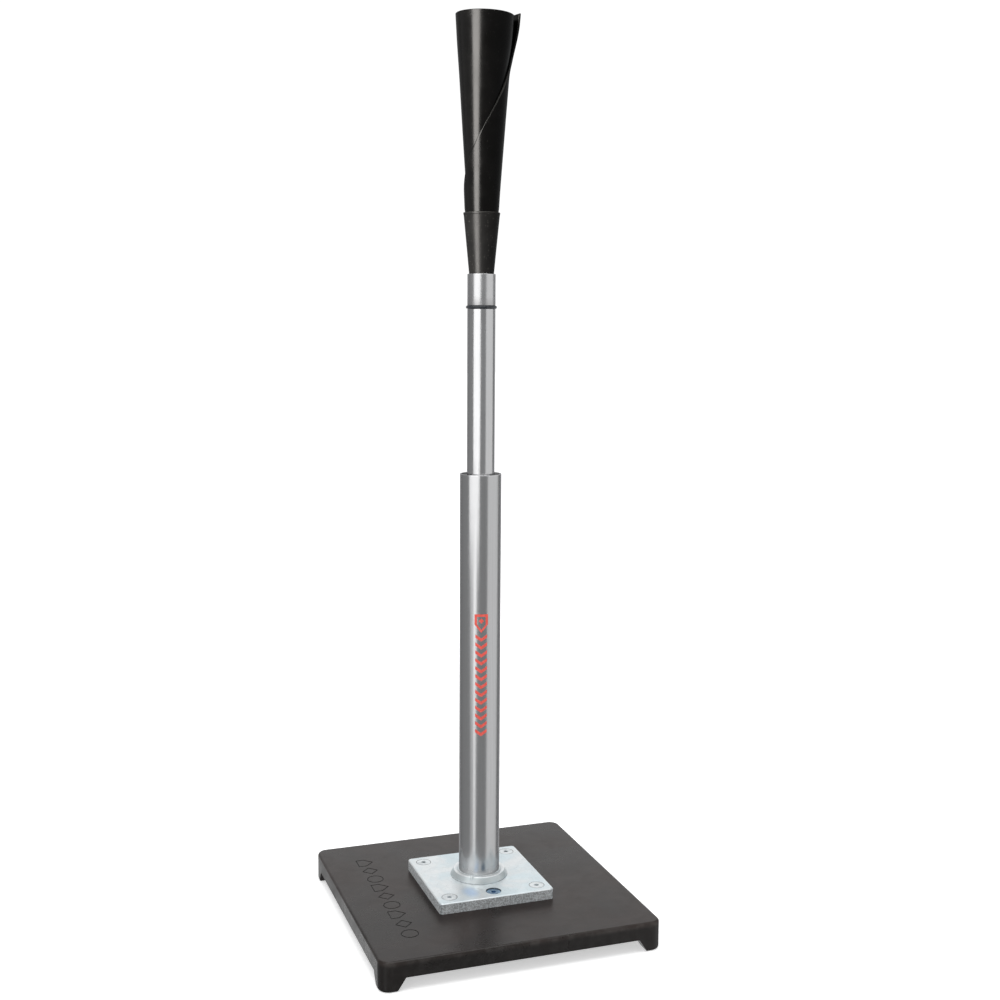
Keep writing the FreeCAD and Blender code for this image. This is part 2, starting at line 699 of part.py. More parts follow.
def make_cone_fixing():
    """Wedge, stud, washer and nut that hold the cone's foot in the neck sleeve."""
    foot = f"({CONE_FOOT} - Sizes.cone_wall)"
    top = f"({foot} + {NECK_SLOPE} * Sizes.wedge_height)"
    wedge = ((HOLE, "0"), (foot, "0"), (top, "Sizes.wedge_height"), (HOLE, "Sizes.wedge_height"))
    add_round_piece("cone_wedge", CONE_BOTTOM, wedge)
    length = f"({STUD_TOP} - {STUD_BOTTOM})"
    add_round_piece("stem_stud", STUD_BOTTOM, (("0", "0"), (SHANK, "0"), (SHANK, length), ("0", length)))
    add_ring("stem_washer", WEDGE_TOP, HOLE, f"({top} - Sizes.wedge_ledge)", "Sizes.washer_thickness")
    nut = add_body("stem_nut", STEM_NUT_BOTTOM)
    outline = add_sketch(nut, "XY_Plane")
    draw_hexagon(outline, "Sizes.nut_width")
    pad(nut, outline, "Sizes.stem_nut_height")
    bore = add_sketch(nut, "XY_Plane")
    draw_circle(bore, SHANK)
    pocket(nut, bore)


def check_document():
    """Stop if any object failed or any sub-part has no sound shape."""
    doc.recompute()
    for item in doc.Objects:
        if "Invalid" in item.State or "Error" in item.State:
            raise RuntimeError(f"{item.Label} failed: {item.State}")
    for item in subparts:
        if item.Shape.isNull() or not item.Shape.isValid() or not item.Shape.Solids:
            raise RuntimeError(f"{item.Label} has no valid solid")


def export_subparts():
    os.makedirs("parts", exist_ok=True)
    for item in subparts:
        item.Shape.exportStep(f"parts/{item.Label}.step")
        print(item.Label, len(item.Shape.Solids), "solids", round(item.Shape.Volume, 1), "mm3")


make_rubber_base()
make_mounting_plate()
make_weld_collar()
make_countersunk_screws("corner_screws", CORNER_UPRIGHT, "0")
make_countersunk_screws("front_screw", FRONT_UPRIGHT, "Sizes.front_screw_recess")
make_base_washers()
make_base_nuts()
make_nut_inserts()
make_post()
make_brake()
make_end_cap()
make_brake_screw()
make_anchor()
make_inner_tube()
make_ferrule()
make_o_ring()
make_neck_sleeve()
make_rolled_cone()
make_cone_fixing()
check_document()
export_subparts()
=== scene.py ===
"""Looks of a telescoping batting tee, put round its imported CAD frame.

Everything is in metres in the tee's own frame: Z is up, the post stands on the Z axis, the floor is at zero.
"""

import math

import bpy
import numpy as np
from mathutils import Matrix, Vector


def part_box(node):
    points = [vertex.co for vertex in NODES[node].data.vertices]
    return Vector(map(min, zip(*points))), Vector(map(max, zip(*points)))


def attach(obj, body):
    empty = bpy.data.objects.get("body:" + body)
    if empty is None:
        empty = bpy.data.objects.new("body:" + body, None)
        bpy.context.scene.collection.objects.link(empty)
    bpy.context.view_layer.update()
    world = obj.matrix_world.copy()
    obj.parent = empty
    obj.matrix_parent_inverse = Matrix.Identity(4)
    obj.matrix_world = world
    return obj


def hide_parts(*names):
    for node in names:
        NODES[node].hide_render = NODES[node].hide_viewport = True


bl_info = {
    "name": "Batting Tee Looks",
    "version": (1, 0, 0),
    "blender": (4, 5, 0),
    "location": "View3D > Sidebar > Batting tee",
    "description": "Builds the shown surfaces, finishes and studio of a telescoping batting tee",
    "category": "Object",
}

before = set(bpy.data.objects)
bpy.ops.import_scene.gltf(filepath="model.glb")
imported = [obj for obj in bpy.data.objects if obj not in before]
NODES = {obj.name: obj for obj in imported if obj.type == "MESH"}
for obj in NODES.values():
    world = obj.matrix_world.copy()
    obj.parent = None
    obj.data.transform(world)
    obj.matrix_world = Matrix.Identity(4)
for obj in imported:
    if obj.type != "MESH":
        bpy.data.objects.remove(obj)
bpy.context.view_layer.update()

MM = 0.001
TURN = 2.0 * math.pi


def half_width(node_name):
    """Half of a node's width along X."""
    low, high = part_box(node_name)
    return (high.x - low.x) / 2


def bottom_of(node_name):
    """Height of a node's lowest point."""
    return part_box(node_name)[0].z


def top_of(node_name):
    """Height of a node's highest point."""
    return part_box(node_name)[1].z


# ---------------------------------------------------------------- settings


def length(name, description, default):
    return bpy.props.FloatProperty(
        name=name, description=description, default=default, unit="LENGTH", precision=5
    )


def angle(name, description, degrees):
    return bpy.props.FloatProperty(
        name=name, description=description, default=math.radians(degrees), unit="ROTATION"
    )


def colour(name, description, default):
    return bpy.props.FloatVectorProperty(
        name=name,
        description=description,
        default=default,
        subtype="COLOR",
        size=3,
        min=0.0,
        max=1.0,
    )


def amount(name, description, default):
    return bpy.props.FloatProperty(
        name=name, description=description, default=default, min=0.0, max=1.0, subtype="FACTOR"
    )


class TeePostSettings(bpy.types.PropertyGroup):
    """Sizes and colours of the two tubes and the ferrule."""

    outer_wall: length("Outer wall", "Wall thickness of the lower tube", 1.65 * MM)
    inner_wall: length("Inner wall", "Wall thickness of the sliding tube", 1.65 * MM)
    mouth_round: length("Mouth rounding", "Rounding of the lower tube's cut ends", 0.5 * MM)
    segments: bpy.props.IntProperty(
        name="Segments", description="Steps round each tube", default=160, min=24, max=360
    )
    outer_colour: colour("Lower tube", "Steel of the lower tube", (0.62, 0.62, 0.625))
    inner_colour: colour("Sliding tube", "Steel of the sliding tube", (0.69, 0.69, 0.695))
    ferrule_colour: colour("Ferrule", "Steel of the cup under the cone", (0.70, 0.70, 0.705))
    shine: amount("Polish roughness", "Roughness of the ground steel", 0.17)


class TeeBaseSettings(bpy.types.PropertyGroup):
    """Sizes and colours of the rubber base, its plate and its fasteners."""

    rubber_dark: colour("Rubber, dark", "Darker patches of the base", (0.0092, 0.0062, 0.0052))
    rubber_light: colour("Rubber, light", "Lighter patches of the base", (0.0250, 0.0165, 0.0140))
    zinc: colour("Zinc", "Plating of the plate and collar", (0.80, 0.83, 0.84))
    zinc_tint: colour("Zinc tint", "Blue-green cast of the passivated plating", (0.64, 0.77, 0.82))
    screw: colour("Screws", "Bright steel of the screws", (0.80, 0.84, 0.855))
    # The front screw's colour: plated steel with a painted blue reflection in it.
    front_screw_with_blue_reflection: colour("Front screw, painted blue reflection", "Steel of the front screw with a painted blue reflection", (0.36, 0.54, 0.74))
    collar_ripple: length("Collar ripple", "Height of the weld ripples", 0.07 * MM)
    notch_depth: length("Weld notch", "Depth of the gap in the weld", 1.3 * MM)
    notch_at: angle("Weld notch angle", "Where the gap in the weld is", -125.0)


class TeeMarkSettings(bpy.types.PropertyGroup):
    """Red marks printed down the lower tube."""

    top: length("Top", "Height of the top of the print", 292.4 * MM)
    bottom: length("Bottom", "Height of the bottom of the print", 177.0 * MM)
    width: length("Width", "Width of the print round the tube", 11.0 * MM)
    film: length("Film", "Thickness of the ink", 0.06 * MM)
    facing: angle("Facing", "Azimuth that the print faces", -105.0)
    chevrons: bpy.props.IntProperty(
        name="Chevrons", description="Number of chevrons under the plate", default=13, min=1, max=30
    )
    ink: colour("Ink", "Colour of the print", (0.61, 0.058, 0.038))


class TeeConeSettings(bpy.types.PropertyGroup):
    """Sizes and colours of the rolled rubber cone and the sleeve that holds it."""

    rim_radius: length("Rim radius", "Radius of the rolled cone at its rim", 26.15 * MM)
    throat_radius: length("Throat radius", "Radius where the cone leaves the sleeve", 15.5 * MM)
    hollow: length("Hollow", "How far the side falls inside a straight cone", 0.3 * MM)
    rubber: length("Rubber", "Thickness of the rolled sheet", 2.3 * MM)
    squeezed: length("Squeezed rubber", "Thickness where the sleeve grips it", 1.4 * MM)
    lean: length("Lean", "How far the rim leans to one side", 2.1 * MM)
    lean_toward: angle("Lean direction", "Azimuth that the rim leans toward", -19.5)
    wrap: angle("Wrap", "Angle that the sheet is rolled through", 573.0)
    edge_azimuth: angle("Free edge", "Azimuth of the free edge at the rim", -8.6)
    edge_turn: bpy.props.FloatProperty(
        name="Edge turn", description="Degrees that the edge turns per millimetre", default=1.65
    )
    edge_free: length("Edge comes free", "Height where the edge starts to wind down", 787.0 * MM)
    lift: length("Lift", "How far the free edge stands off at the rim", 6.2 * MM)
    lift_from: length("Lift from", "Height where the free edge starts to stand off", 768.0 * MM)
    rim_cut: length("Rim cut", "How far the rim falls from its free corner", 3.4 * MM)
    sheet_colour: colour("Cone rubber", "Black of the rolled sheet", (0.0008, 0.00075, 0.0007))
    # Grey of the cut edge, partly the rubber's own colour and partly a painted highlight.
    cut_edge_grey_and_highlight: colour("Cut edge", "Grey of the sheet's cut edge", (0.0050, 0.0049, 0.0047))
    sleeve_colour: colour("Sleeve rubber", "Black of the neck sleeve", (0.0038, 0.0037, 0.0036))
    sleeve_wall: length("Sleeve wall", "Wall thickness of the sleeve", 1.2 * MM)
    lip: length("Sleeve lip", "Height of the sleeve's bead", 2.2 * MM)


class TeeStudioSettings(bpy.types.PropertyGroup):
    """Camera, floor and lights."""

    lens: bpy.props.FloatProperty(
        name="Lens", description="Focal length on a 36 mm sensor", default=48.39, unit="CAMERA"
    )
    eye: bpy.props.FloatVectorProperty(
        name="Camera place",
        description="Where the camera stands",
        default=(-0.3908, -1.1597, 0.5541),
        subtype="TRANSLATION",
        unit="LENGTH",
        size=3,
    )
    yaw: angle("Yaw", "Turn of the camera from +Y", -19.459)
    pitch: angle("Pitch", "How far the camera looks down", 7.385)
    roll: angle("Roll", "Tilt of the camera", 0.356)
    surround: amount("Surround", "Grey that the glossy parts see", 0.28)
    floor_colour: colour("Floor", "Pale floor", (0.92, 0.92, 0.92))
    cone_key: bpy.props.FloatProperty(
        name="Cone card", description="Radiance of the card that lights the cone", default=30.0, min=0.0
    )
    card_distance: length("Card distance", "Distance of the soft cards from the post", 2.3)


SETTINGS = {
    "tee_post": TeePostSettings,
    "tee_base": TeeBaseSettings,
    "tee_mark": TeeMarkSettings,
    "tee_cone": TeeConeSettings,
    "tee_studio": TeeStudioSettings,
}


CARD_TOP = 2.4
CARD_SPLIT = 0.17
CARD_LOW_SPLIT = -0.55
CONE_CARD_FOOT = -0.6
OVERHEAD_SIDE = 2.2
OVERHEAD_RADIANCE = 3.2
KEY_TINT = (1.0, 0.965, 0.925)
FILL_SHARE = 0.014

# Name, azimuth from the camera in degrees, half angle, foot, top and radiance. The left front card is in
# three parts, dimmer and narrower toward the foot, and each lower part has a brighter strip in it.
CARDS = (
    ("Right_card", 76.0, 36.0, -1.7, CARD_TOP, 0.50),
    ("Left_card_high", -35.0, 29.0, CARD_SPLIT, CARD_TOP, 1.22),
    ("Left_card_middle", -36.0, 19.0, CARD_LOW_SPLIT, CARD_SPLIT, 0.40),
    ("Left_strip_middle", -29.0, 8.0, CARD_LOW_SPLIT, CARD_SPLIT, 0.75),
    ("Left_card_low", -36.0, 17.0, -1.4, CARD_LOW_SPLIT, 0.30),
    ("Left_strip_low", -29.0, 6.0, -1.4, CARD_LOW_SPLIT, 0.65),
    ("Back_card", 180.0, 40.0, -1.8, CARD_TOP, 0.72),
)


# ---------------------------------------------------------------- surfaces


def smoothstep(x):
    """Rises from 0 to 1 as x does: 3 x squared less 2 x cubed."""
    x = np.clip(x, 0.0, 1.0)
    return x * x * (3.0 - 2.0 * x)


def grid_quads(rows, columns, wrap_rows=False, wrap_columns=False):
    """Corner numbers of the quads of a grid whose points are numbered row by row."""
    j = np.arange(rows if wrap_rows else rows - 1)[:, None]
    i = np.arange(columns if wrap_columns else columns - 1)[None, :]
    j_next = (j + 1) % rows
    i_next = (i + 1) % columns
    corners = (j * columns + i, j * columns + i_next, j_next * columns + i_next, j_next * columns + i)
    return np.stack([np.broadcast_to(c, (j.size, i.size)).ravel() for c in corners], axis=1)


def mesh_piece(name, points, quads, sharp_degrees=42.0):
    """A mesh object at the origin from arrays of points and quads, shaded smooth except at sharp edges."""
    mesh = bpy.data.meshes.new(name)
    mesh.from_pydata(points.reshape(-1, 3).tolist(), [], quads.tolist())
    mesh.validate()
    mesh.shade_smooth()
    mesh.set_sharp_from_angle(angle=math.radians(sharp_degrees))
    piece = bpy.data.objects.new(name, mesh)
    bpy.context.scene.collection.objects.link(piece)
    return piece


def rounded_outline(corners, radii, steps=5):
    """A closed outline of (radius, height) corners, each swept off by the quadratic curve that starts and
    ends its given distance from the corner: (1-t)^2 start + 2 t (1-t) corner + t^2 end."""
    corner = np.asarray(corners, float)
    reach = np.asarray(radii, float)[:, None]
    to_last = np.roll(corner, 1, axis=0) - corner
    to_next = np.roll(corner, -1, axis=0) - corner
    start = corner + to_last / np.linalg.norm(to_last, axis=1, keepdims=True) * reach
    end = corner + to_next / np.linalg.norm(to_next, axis=1, keepdims=True) * reach
    t = np.linspace(0.0, 1.0, steps)[None, :, None]
    points = (1 - t) ** 2 * start[:, None] + 2 * t * (1 - t) * corner[:, None] + t**2 * end[:, None]
    return points.reshape(-1, 2)


def turned_points(outline, segments, ripple=None):
    """An outline carried round the Z axis: (r cos a, r sin a, z) for every outline point and angle a. A
    ripple takes the grids of radius, height and angle and gives the changed radius and height."""
    a = np.linspace(0.0, TURN, segments, endpoint=False)[:, None]
    radius = np.broadcast_to(outline[None, :, 0], (segments, len(outline)))
    height = np.broadcast_to(outline[None, :, 1], (segments, len(outline)))
    if ripple:
        radius, height = ripple(radius, height, a)
    return np.stack([radius * np.cos(a), radius * np.sin(a), height], axis=-1)


def turned_ring(name, corners, radii, segments, ripple=None, steps=5):
    """A closed ring: a rounded outline, walked with its inside on the left, carried once round the axis."""
    outline = rounded_outline(corners, radii, steps)
    points = turned_points(outline, segments, ripple)
    return mesh_piece(name, points, grid_quads(segments, len(outline), True, True)[:, ::-1])


def closed_sheet(name, outer, inner):
    """A closed sheet between two grids of the same size: the outer face, the inner face turned over, and a
    strip round the four borders."""
    rows, columns = outer.shape[:2]
    count = rows * columns
    face = grid_quads(rows, columns)
    back = face[:, ::-1] + count
    number = np.arange(count).reshape(rows, columns)
    border = np.concatenate(
        [number[0, :-1], number[:-1, -1], number[-1, :0:-1], number[:0:-1, 0]]
    )
    following = np.roll(border, -1)
    strip = np.stack([following, border, border + count, following + count], axis=1)
    points = np.concatenate([outer.reshape(-1, 3), inner.reshape(-1, 3)])
    return mesh_piece(name, points, np.concatenate([face, back, strip]))


def joined(name, pieces):
    """One object from several, keeping each one's shading."""
    for made in bpy.context.selected_objects:
        made.select_set(False)
    for made in pieces:
        made.select_set(True)
    bpy.context.view_layer.objects.active = pieces[0]
    bpy.ops.object.join()
    whole = bpy.context.view_layer.objects.active
    whole.name = name
    whole.data.name = name
    return whole


# ---------------------------------------------------------------- node helpers


def node(tree, kind, inputs=None, **options):
    """A node with its options set, and its inputs given values or joined to sockets."""
    made = tree.nodes.new(kind)
    for option, value in options.items():
        setattr(made, option, value)
    for key, value in (inputs or {}).items():
        if isinstance(value, bpy.types.NodeSocket):
            tree.links.new(value, made.inputs[key])
        else:
            made.inputs[key].default_value = value
    return made


def maths(tree, operation, first, second=0.0, clamp=False):
    """One sum of two values or sockets, held between 0 and 1 if clamp is set."""
    made = node(tree, "ShaderNodeMath", {0: first, 1: second}, operation=operation)
    made.use_clamp = clamp
    return made.outputs[0]


def scaled(tree, vector, scale):
    """The vector stretched by a scale along each axis."""
    return node(tree, "ShaderNodeMapping", {"Vector": vector, "Scale": scale}).outputs[0]


def noise(tree, vector, scale, detail=3.0, roughness=0.55, distortion=0.0):
    """Cloudy noise between 0 and 1."""
    inputs = {
        "Vector": vector,
        "Scale": scale,
        "Detail": detail,
        "Roughness": roughness,
        "Distortion": distortion,
    }
    return node(tree, "ShaderNodeTexNoise", inputs).outputs["Fac"]


def spread(tree, value, low, high, out_low=0.0, out_high=1.0):
    """The value between low and high, smoothly turned into the out range."""
    inputs = {0: value, 1: low, 2: high, 3: out_low, 4: out_high}
    return node(tree, "ShaderNodeMapRange", inputs, interpolation_type="SMOOTHSTEP").outputs[0]


def blended(tree, factor, first, second):
    """A colour mix of first and second."""
    made = node(tree, "ShaderNodeMix", data_type="RGBA")
    for index, value in ((0, factor), (6, first), (7, second)):
        if isinstance(value, bpy.types.NodeSocket):
            tree.links.new(value, made.inputs[index])
        elif index == 0:
            made.inputs[index].default_value = value
        else:
            made.inputs[index].default_value = (*tuple(value)[:3], 1.0)
    return made.outputs[2]


def coated(tree, paint, mask, over, share):
    """The paint with another colour laid over it where the mask is, at most by the share."""
    return blended(tree, maths(tree, "MULTIPLY", mask, share), paint, over)


def raised(tree, value, mask, share):
    """The value with a share of the mask added."""
    return maths(tree, "ADD", maths(tree, "MULTIPLY", mask, share), value)


def distance_to_middle(tree, vector):
    """Length of a vector."""
    return node(tree, "ShaderNodeVectorMath", {0: vector}, operation="LENGTH").outputs["Value"]


def parted(tree, vector):
    """The three parts of a vector."""
    return node(tree, "ShaderNodeSeparateXYZ", {0: vector}).outputs


def new_group(name, inputs, outputs):
    """An empty shader node group with a vector input, named float inputs and named float outputs."""
    group = bpy.data.node_groups.new(name, "ShaderNodeTree")
    group.interface.new_socket("Vector", in_out="INPUT", socket_type="NodeSocketVector")
    for key, value in inputs.items():
        socket = group.interface.new_socket(key, in_out="INPUT", socket_type="NodeSocketFloat")
        socket.default_value = value
    for key in outputs:
        group.interface.new_socket(key, in_out="OUTPUT", socket_type="NodeSocketFloat")
    source = group.nodes.new("NodeGroupInput").outputs
    result = group.nodes.new("NodeGroupOutput").inputs
    return group, source, result


def grain_group():
    """Fine moulded grain: a coarse and a fine noise added."""
    group, source, result = new_group("Tee_grain", {"Scale": 900.0, "Coarse": 0.35}, ("Height",))
    fine = noise(group, source["Vector"], source["Scale"], 4.0, 0.6)
    wide_scale = maths(group, "MULTIPLY", source["Scale"], 0.12)
    wide = noise(group, source["Vector"], wide_scale, 2.0, 0.5)
    wide = maths(group, "MULTIPLY", wide, source["Coarse"])
    group.links.new(maths(group, "ADD", fine, wide), result["Height"])
    return group


def mottle_group():
    """Soft uneven patches: a warped noise pulled apart round its middle."""
    group, source, result = new_group("Tee_mottle", {"Scale": 14.0, "Spread": 0.16}, ("Mask",))
    patches = noise(group, source["Vector"], source["Scale"], 5.0, 0.62, 0.6)
    low = maths(group, "SUBTRACT", 0.5, source["Spread"])
    high = maths(group, "ADD", 0.5, source["Spread"])
    group.links.new(spread(group, patches, low, high), result["Mask"])
    return group


def fleck_group():
    """Sparse specks and pits: the middles of scattered cells, some of them left out."""
    group, source, result = new_group("Tee_flecks", {"Scale": 260.0, "Size": 0.16, "Share": 0.5}, ("Mask",))
    cells = node(group, "ShaderNodeTexVoronoi", {"Vector": source["Vector"], "Scale": source["Scale"]})
    near = maths(group, "SUBTRACT", source["Size"], cells.outputs["Distance"])
    dot = maths(group, "MULTIPLY", near, 14.0, clamp=True)
    picked = maths(group, "LESS_THAN", parted(group, cells.outputs["Color"])[0], source["Share"])
    group.links.new(maths(group, "MULTIPLY", dot, picked), result["Mask"])
    return group


def drawn_group():
    """Lines drawn along the tube: noise squeezed across the axis, with a few deeper scratches."""
    group, source, result = new_group("Tee_drawn_lines", {"Fineness": 1.0}, ("Lines", "Scratches"))
    along = scaled(group, source["Vector"], (1400.0, 1400.0, 10.0))
    lines = noise(group, along, source["Fineness"], 3.0, 0.6)
    wide = scaled(group, source["Vector"], (420.0, 420.0, 5.0))
    rare = noise(group, wide, source["Fineness"], 2.0, 0.5)
    group.links.new(lines, result["Lines"])
    group.links.new(spread(group, rare, 0.66, 0.74), result["Scratches"])
    return group


def square_edge_group():
    """Band round the rim of a square piece: strongest on its outline, broken up by noise. Rubbed wear on the
    base, painted highlight on the plate.
    """
    defaults = {"Half Side": 0.13, "Width": 0.004, "Breakup": 0.6}
    group, source, result = new_group("Tee_square_edge", defaults, ("Mask",))
    x, y = parted(group, source["Vector"])[:2]
    reach = maths(group, "MAXIMUM", maths(group, "ABSOLUTE", x), maths(group, "ABSOLUTE", y))
    gap = maths(group, "SUBTRACT", source["Half Side"], reach)
    near = maths(group, "SUBTRACT", 1.0, maths(group, "DIVIDE", gap, source["Width"]), clamp=True)
    patchy = spread(group, noise(group, source["Vector"], 120.0, 3.0), 0.35, 0.62)
    kept = maths(group, "SUBTRACT", 1.0, maths(group, "MULTIPLY", patchy, source["Breakup"]))
    group.links.new(maths(group, "MULTIPLY", near, kept), result["Mask"])
    return group


def level_edge_group():
    """Band at one height: strongest at the level, gone a width away from it. Rubbed wear on the sleeve's lip,
    painted highlight on the collar's rim and the tube mouths, painted shade at the tube feet.
    """
    group, source, result = new_group("Tee_level_edge", {"Level": 0.4, "Width": 0.003}, ("Mask",))
    z = parted(group, source["Vector"])[2]
    away = maths(group, "ABSOLUTE", maths(group, "SUBTRACT", z, source["Level"]))
    near = maths(group, "SUBTRACT", 1.0, maths(group, "DIVIDE", away, source["Width"]), clamp=True)
    patchy = spread(group, noise(group, source["Vector"], 260.0, 2.0), 0.3, 0.6, 0.55, 1.0)
    group.links.new(maths(group, "MULTIPLY", near, patchy), result["Mask"])
    return group


def seam_ring_group():
    """Thin dark seams round the corner screws: the distance from a point mirrored to all four corners."""
    defaults = {"Across": 0.0425, "Along": 0.0425, "Radius": 0.00675, "Width": 0.0003}
    group, source, result = new_group("Tee_seam_rings", defaults, ("Mask",))
    x, y = parted(group, source["Vector"])[:2]
    across = maths(group, "SUBTRACT", maths(group, "ABSOLUTE", x), source["Across"])
    along = maths(group, "SUBTRACT", maths(group, "ABSOLUTE", y), source["Along"])
    squares = maths(group, "MULTIPLY", along, along)
    squares = raised(group, squares, across, across)
    away = maths(group, "SQRT", squares)
    off = maths(group, "ABSOLUTE", maths(group, "SUBTRACT", away, source["Radius"]))
    line = maths(group, "SUBTRACT", 1.0, maths(group, "DIVIDE", off, source["Width"]), clamp=True)
    group.links.new(maths(group, "MULTIPLY", line, 2.0, clamp=True), result["Mask"])
    return group


def spangle_group():
    """Zinc crystals: a value for each cell and a thin line between cells."""
    group, source, result = new_group("Tee_spangle", {"Scale": 120.0}, ("Crystal", "Border"))
    bent = node(group, "ShaderNodeTexNoise", {"Vector": source["Vector"], "Scale": 60.0, "Detail": 2.0})
    warp = node(group, "ShaderNodeVectorMath", {0: bent.outputs["Color"], 3: 0.006}, operation="SCALE")
    place = node(group, "ShaderNodeVectorMath", {0: source["Vector"], 1: warp.outputs[0]}, operation="ADD")
    cells = node(group, "ShaderNodeTexVoronoi", {"Vector": place.outputs[0], "Scale": source["Scale"]})
    border = node(
        group,
        "ShaderNodeTexVoronoi",
        {"Vector": place.outputs[0], "Scale": source["Scale"]},
        feature="DISTANCE_TO_EDGE",
    )
    group.links.new(parted(group, cells.outputs["Color"])[0], result["Crystal"])
    line = spread(group, border.outputs["Distance"], 0.0, 0.08, 1.0, 0.0)
    group.links.new(line, result["Border"])
    return group


GROUP_MAKERS = {
    "grain": grain_group,
    "mottle": mottle_group,
    "flecks": fleck_group,
    "drawn": drawn_group,
    "square_edge": square_edge_group,
    "level_edge": level_edge_group,
    "seam_ring": seam_ring_group,
    "spangle": spangle_group,
}
MADE_GROUPS = {}


def effect(tree, name, vector, output, **values):
    """One output of a shared effect, placed in a material with its own values."""
    if name not in MADE_GROUPS:
        MADE_GROUPS[name] = GROUP_MAKERS[name]()
    placed = node(tree, "ShaderNodeGroup", node_tree=MADE_GROUPS[name])
    tree.links.new(vector, placed.inputs["Vector"])
    for key, value in values.items():
        placed.inputs[key.replace("_", " ").title()].default_value = value
    return placed.outputs[output]


class Finish:
    """A material with one Principled shader, its constants on the shader's own sockets. Patterns read Object
    coordinates. The paint and the roughness are built up by coats, then joined to the shader with a bump."""

    def __init__(self, name, **constants):
        self.material = bpy.data.materials.new(name)
        self.material.use_nodes = True
        self.tree = self.material.node_tree
        self.tree.nodes.clear()
        self.shader = node(self.tree, "ShaderNodeBsdfPrincipled", constants)
        node(self.tree, "ShaderNodeOutputMaterial", {"Surface": self.shader.outputs[0]})
        self.place = node(self.tree, "ShaderNodeTexCoord").outputs["Object"]
        self.paint = None
        self.rough = None

    def mask(self, name, output="Mask", **values):
        """One output of a shared effect, with this material's own values."""
        return effect(self.tree, name, self.place, output, **values)

    def coat(self, mask, over, share=1.0):
        """Lays another colour over the paint where the mask is, at most by the share."""
        self.paint = coated(self.tree, self.paint, mask, over, share)

    def roughen(self, mask, share):
        """Adds a share of the mask to the roughness."""
        self.rough = raised(self.tree, self.rough, mask, share)

    def dressed(self, height, depth, strength):
        """The material, with its paint, its roughness and a bump of the given depth in metres."""
        bump = {"Strength": strength, "Distance": depth, "Height": height}
        sockets = self.shader.inputs
        self.tree.links.new(self.paint, sockets["Base Color"])
        self.tree.links.new(self.rough, sockets["Roughness"])
        self.tree.links.new(node(self.tree, "ShaderNodeBump", bump).outputs["Normal"], sockets["Normal"])
        return self.material


def give(material, *names):
    """Puts a material in every slot of the named CAD nodes."""
    for name in names:
        slots = NODES[name].material_slots
        if not len(slots):
            NODES[name].data.materials.append(material)
        for slot in slots:
            slot.material = material


# ---------------------------------------------------------------- finishes


def base_rubber(settings):
    """Moulded rubber: warm grey patches, dusty specks, a rubbed outline, painted shade in the sunk marks and
    on the sides below the top edge, fine grain.
    """
    finish = Finish("Base_rubber", IOR=1.33)
    tree, place = finish.tree, finish.place
    patches = finish.mask("mottle", scale=11.0, spread=0.17)
    haze = finish.mask("mottle", scale=48.0, spread=0.22)
    dust = finish.mask("flecks", scale=330.0, size=0.13, share=0.3)
    side_at = half_width("rubber_base")
    rim = finish.mask("square_edge", half_side=side_at + 0.2 * MM, width=3.2 * MM, breakup=0.7)
    finish.paint = blended(tree, patches, settings.rubber_dark, settings.rubber_light)
    finish.coat(haze, (0.020, 0.0176, 0.0165), 0.25)
    finish.coat(dust, (0.07, 0.067, 0.063), 0.4)
    finish.coat(rim, (0.10, 0.096, 0.092), 0.28)
    x, y, z = parted(tree, place)
    reach = maths(tree, "MAXIMUM", maths(tree, "ABSOLUTE", x), maths(tree, "ABSOLUTE", y))
    flat = maths(tree, "LESS_THAN", reach, side_at - 5.0 * MM)
    top = top_of("rubber_base")
    below = maths(tree, "MULTIPLY", spread(tree, z, top - 0.4 * MM, top - 0.1 * MM, 1.0, 0.0), flat)
    sunk = maths(tree, "MULTIPLY", below, maths(tree, "GREATER_THAN", z, top - 0.8 * MM))
    # Painted shade: the sunk marks in the flat top are darkened.
    finish.coat(sunk, (0.003, 0.0028, 0.0026), 0.8)
    # Painted shade: the sides below the top edge are darkened.
    side = spread(tree, z, top - 5.5 * MM, top - 1.5 * MM, 0.75, 0.0)
    finish.coat(side, (0.0075, 0.0068, 0.0064))
    finish.rough = raised(tree, 0.23, patches, 0.10)
    finish.roughen(sunk, 0.35)
    finish.roughen(haze, 0.07)
    grain = finish.mask("grain", "Height", scale=1100.0, coarse=0.9)
    waves = noise(tree, place, 26.0, 2.0, 0.5)
    height = raised(tree, grain, waves, 3.0)
    return finish.dressed(height, 0.11 * MM, 0.5)


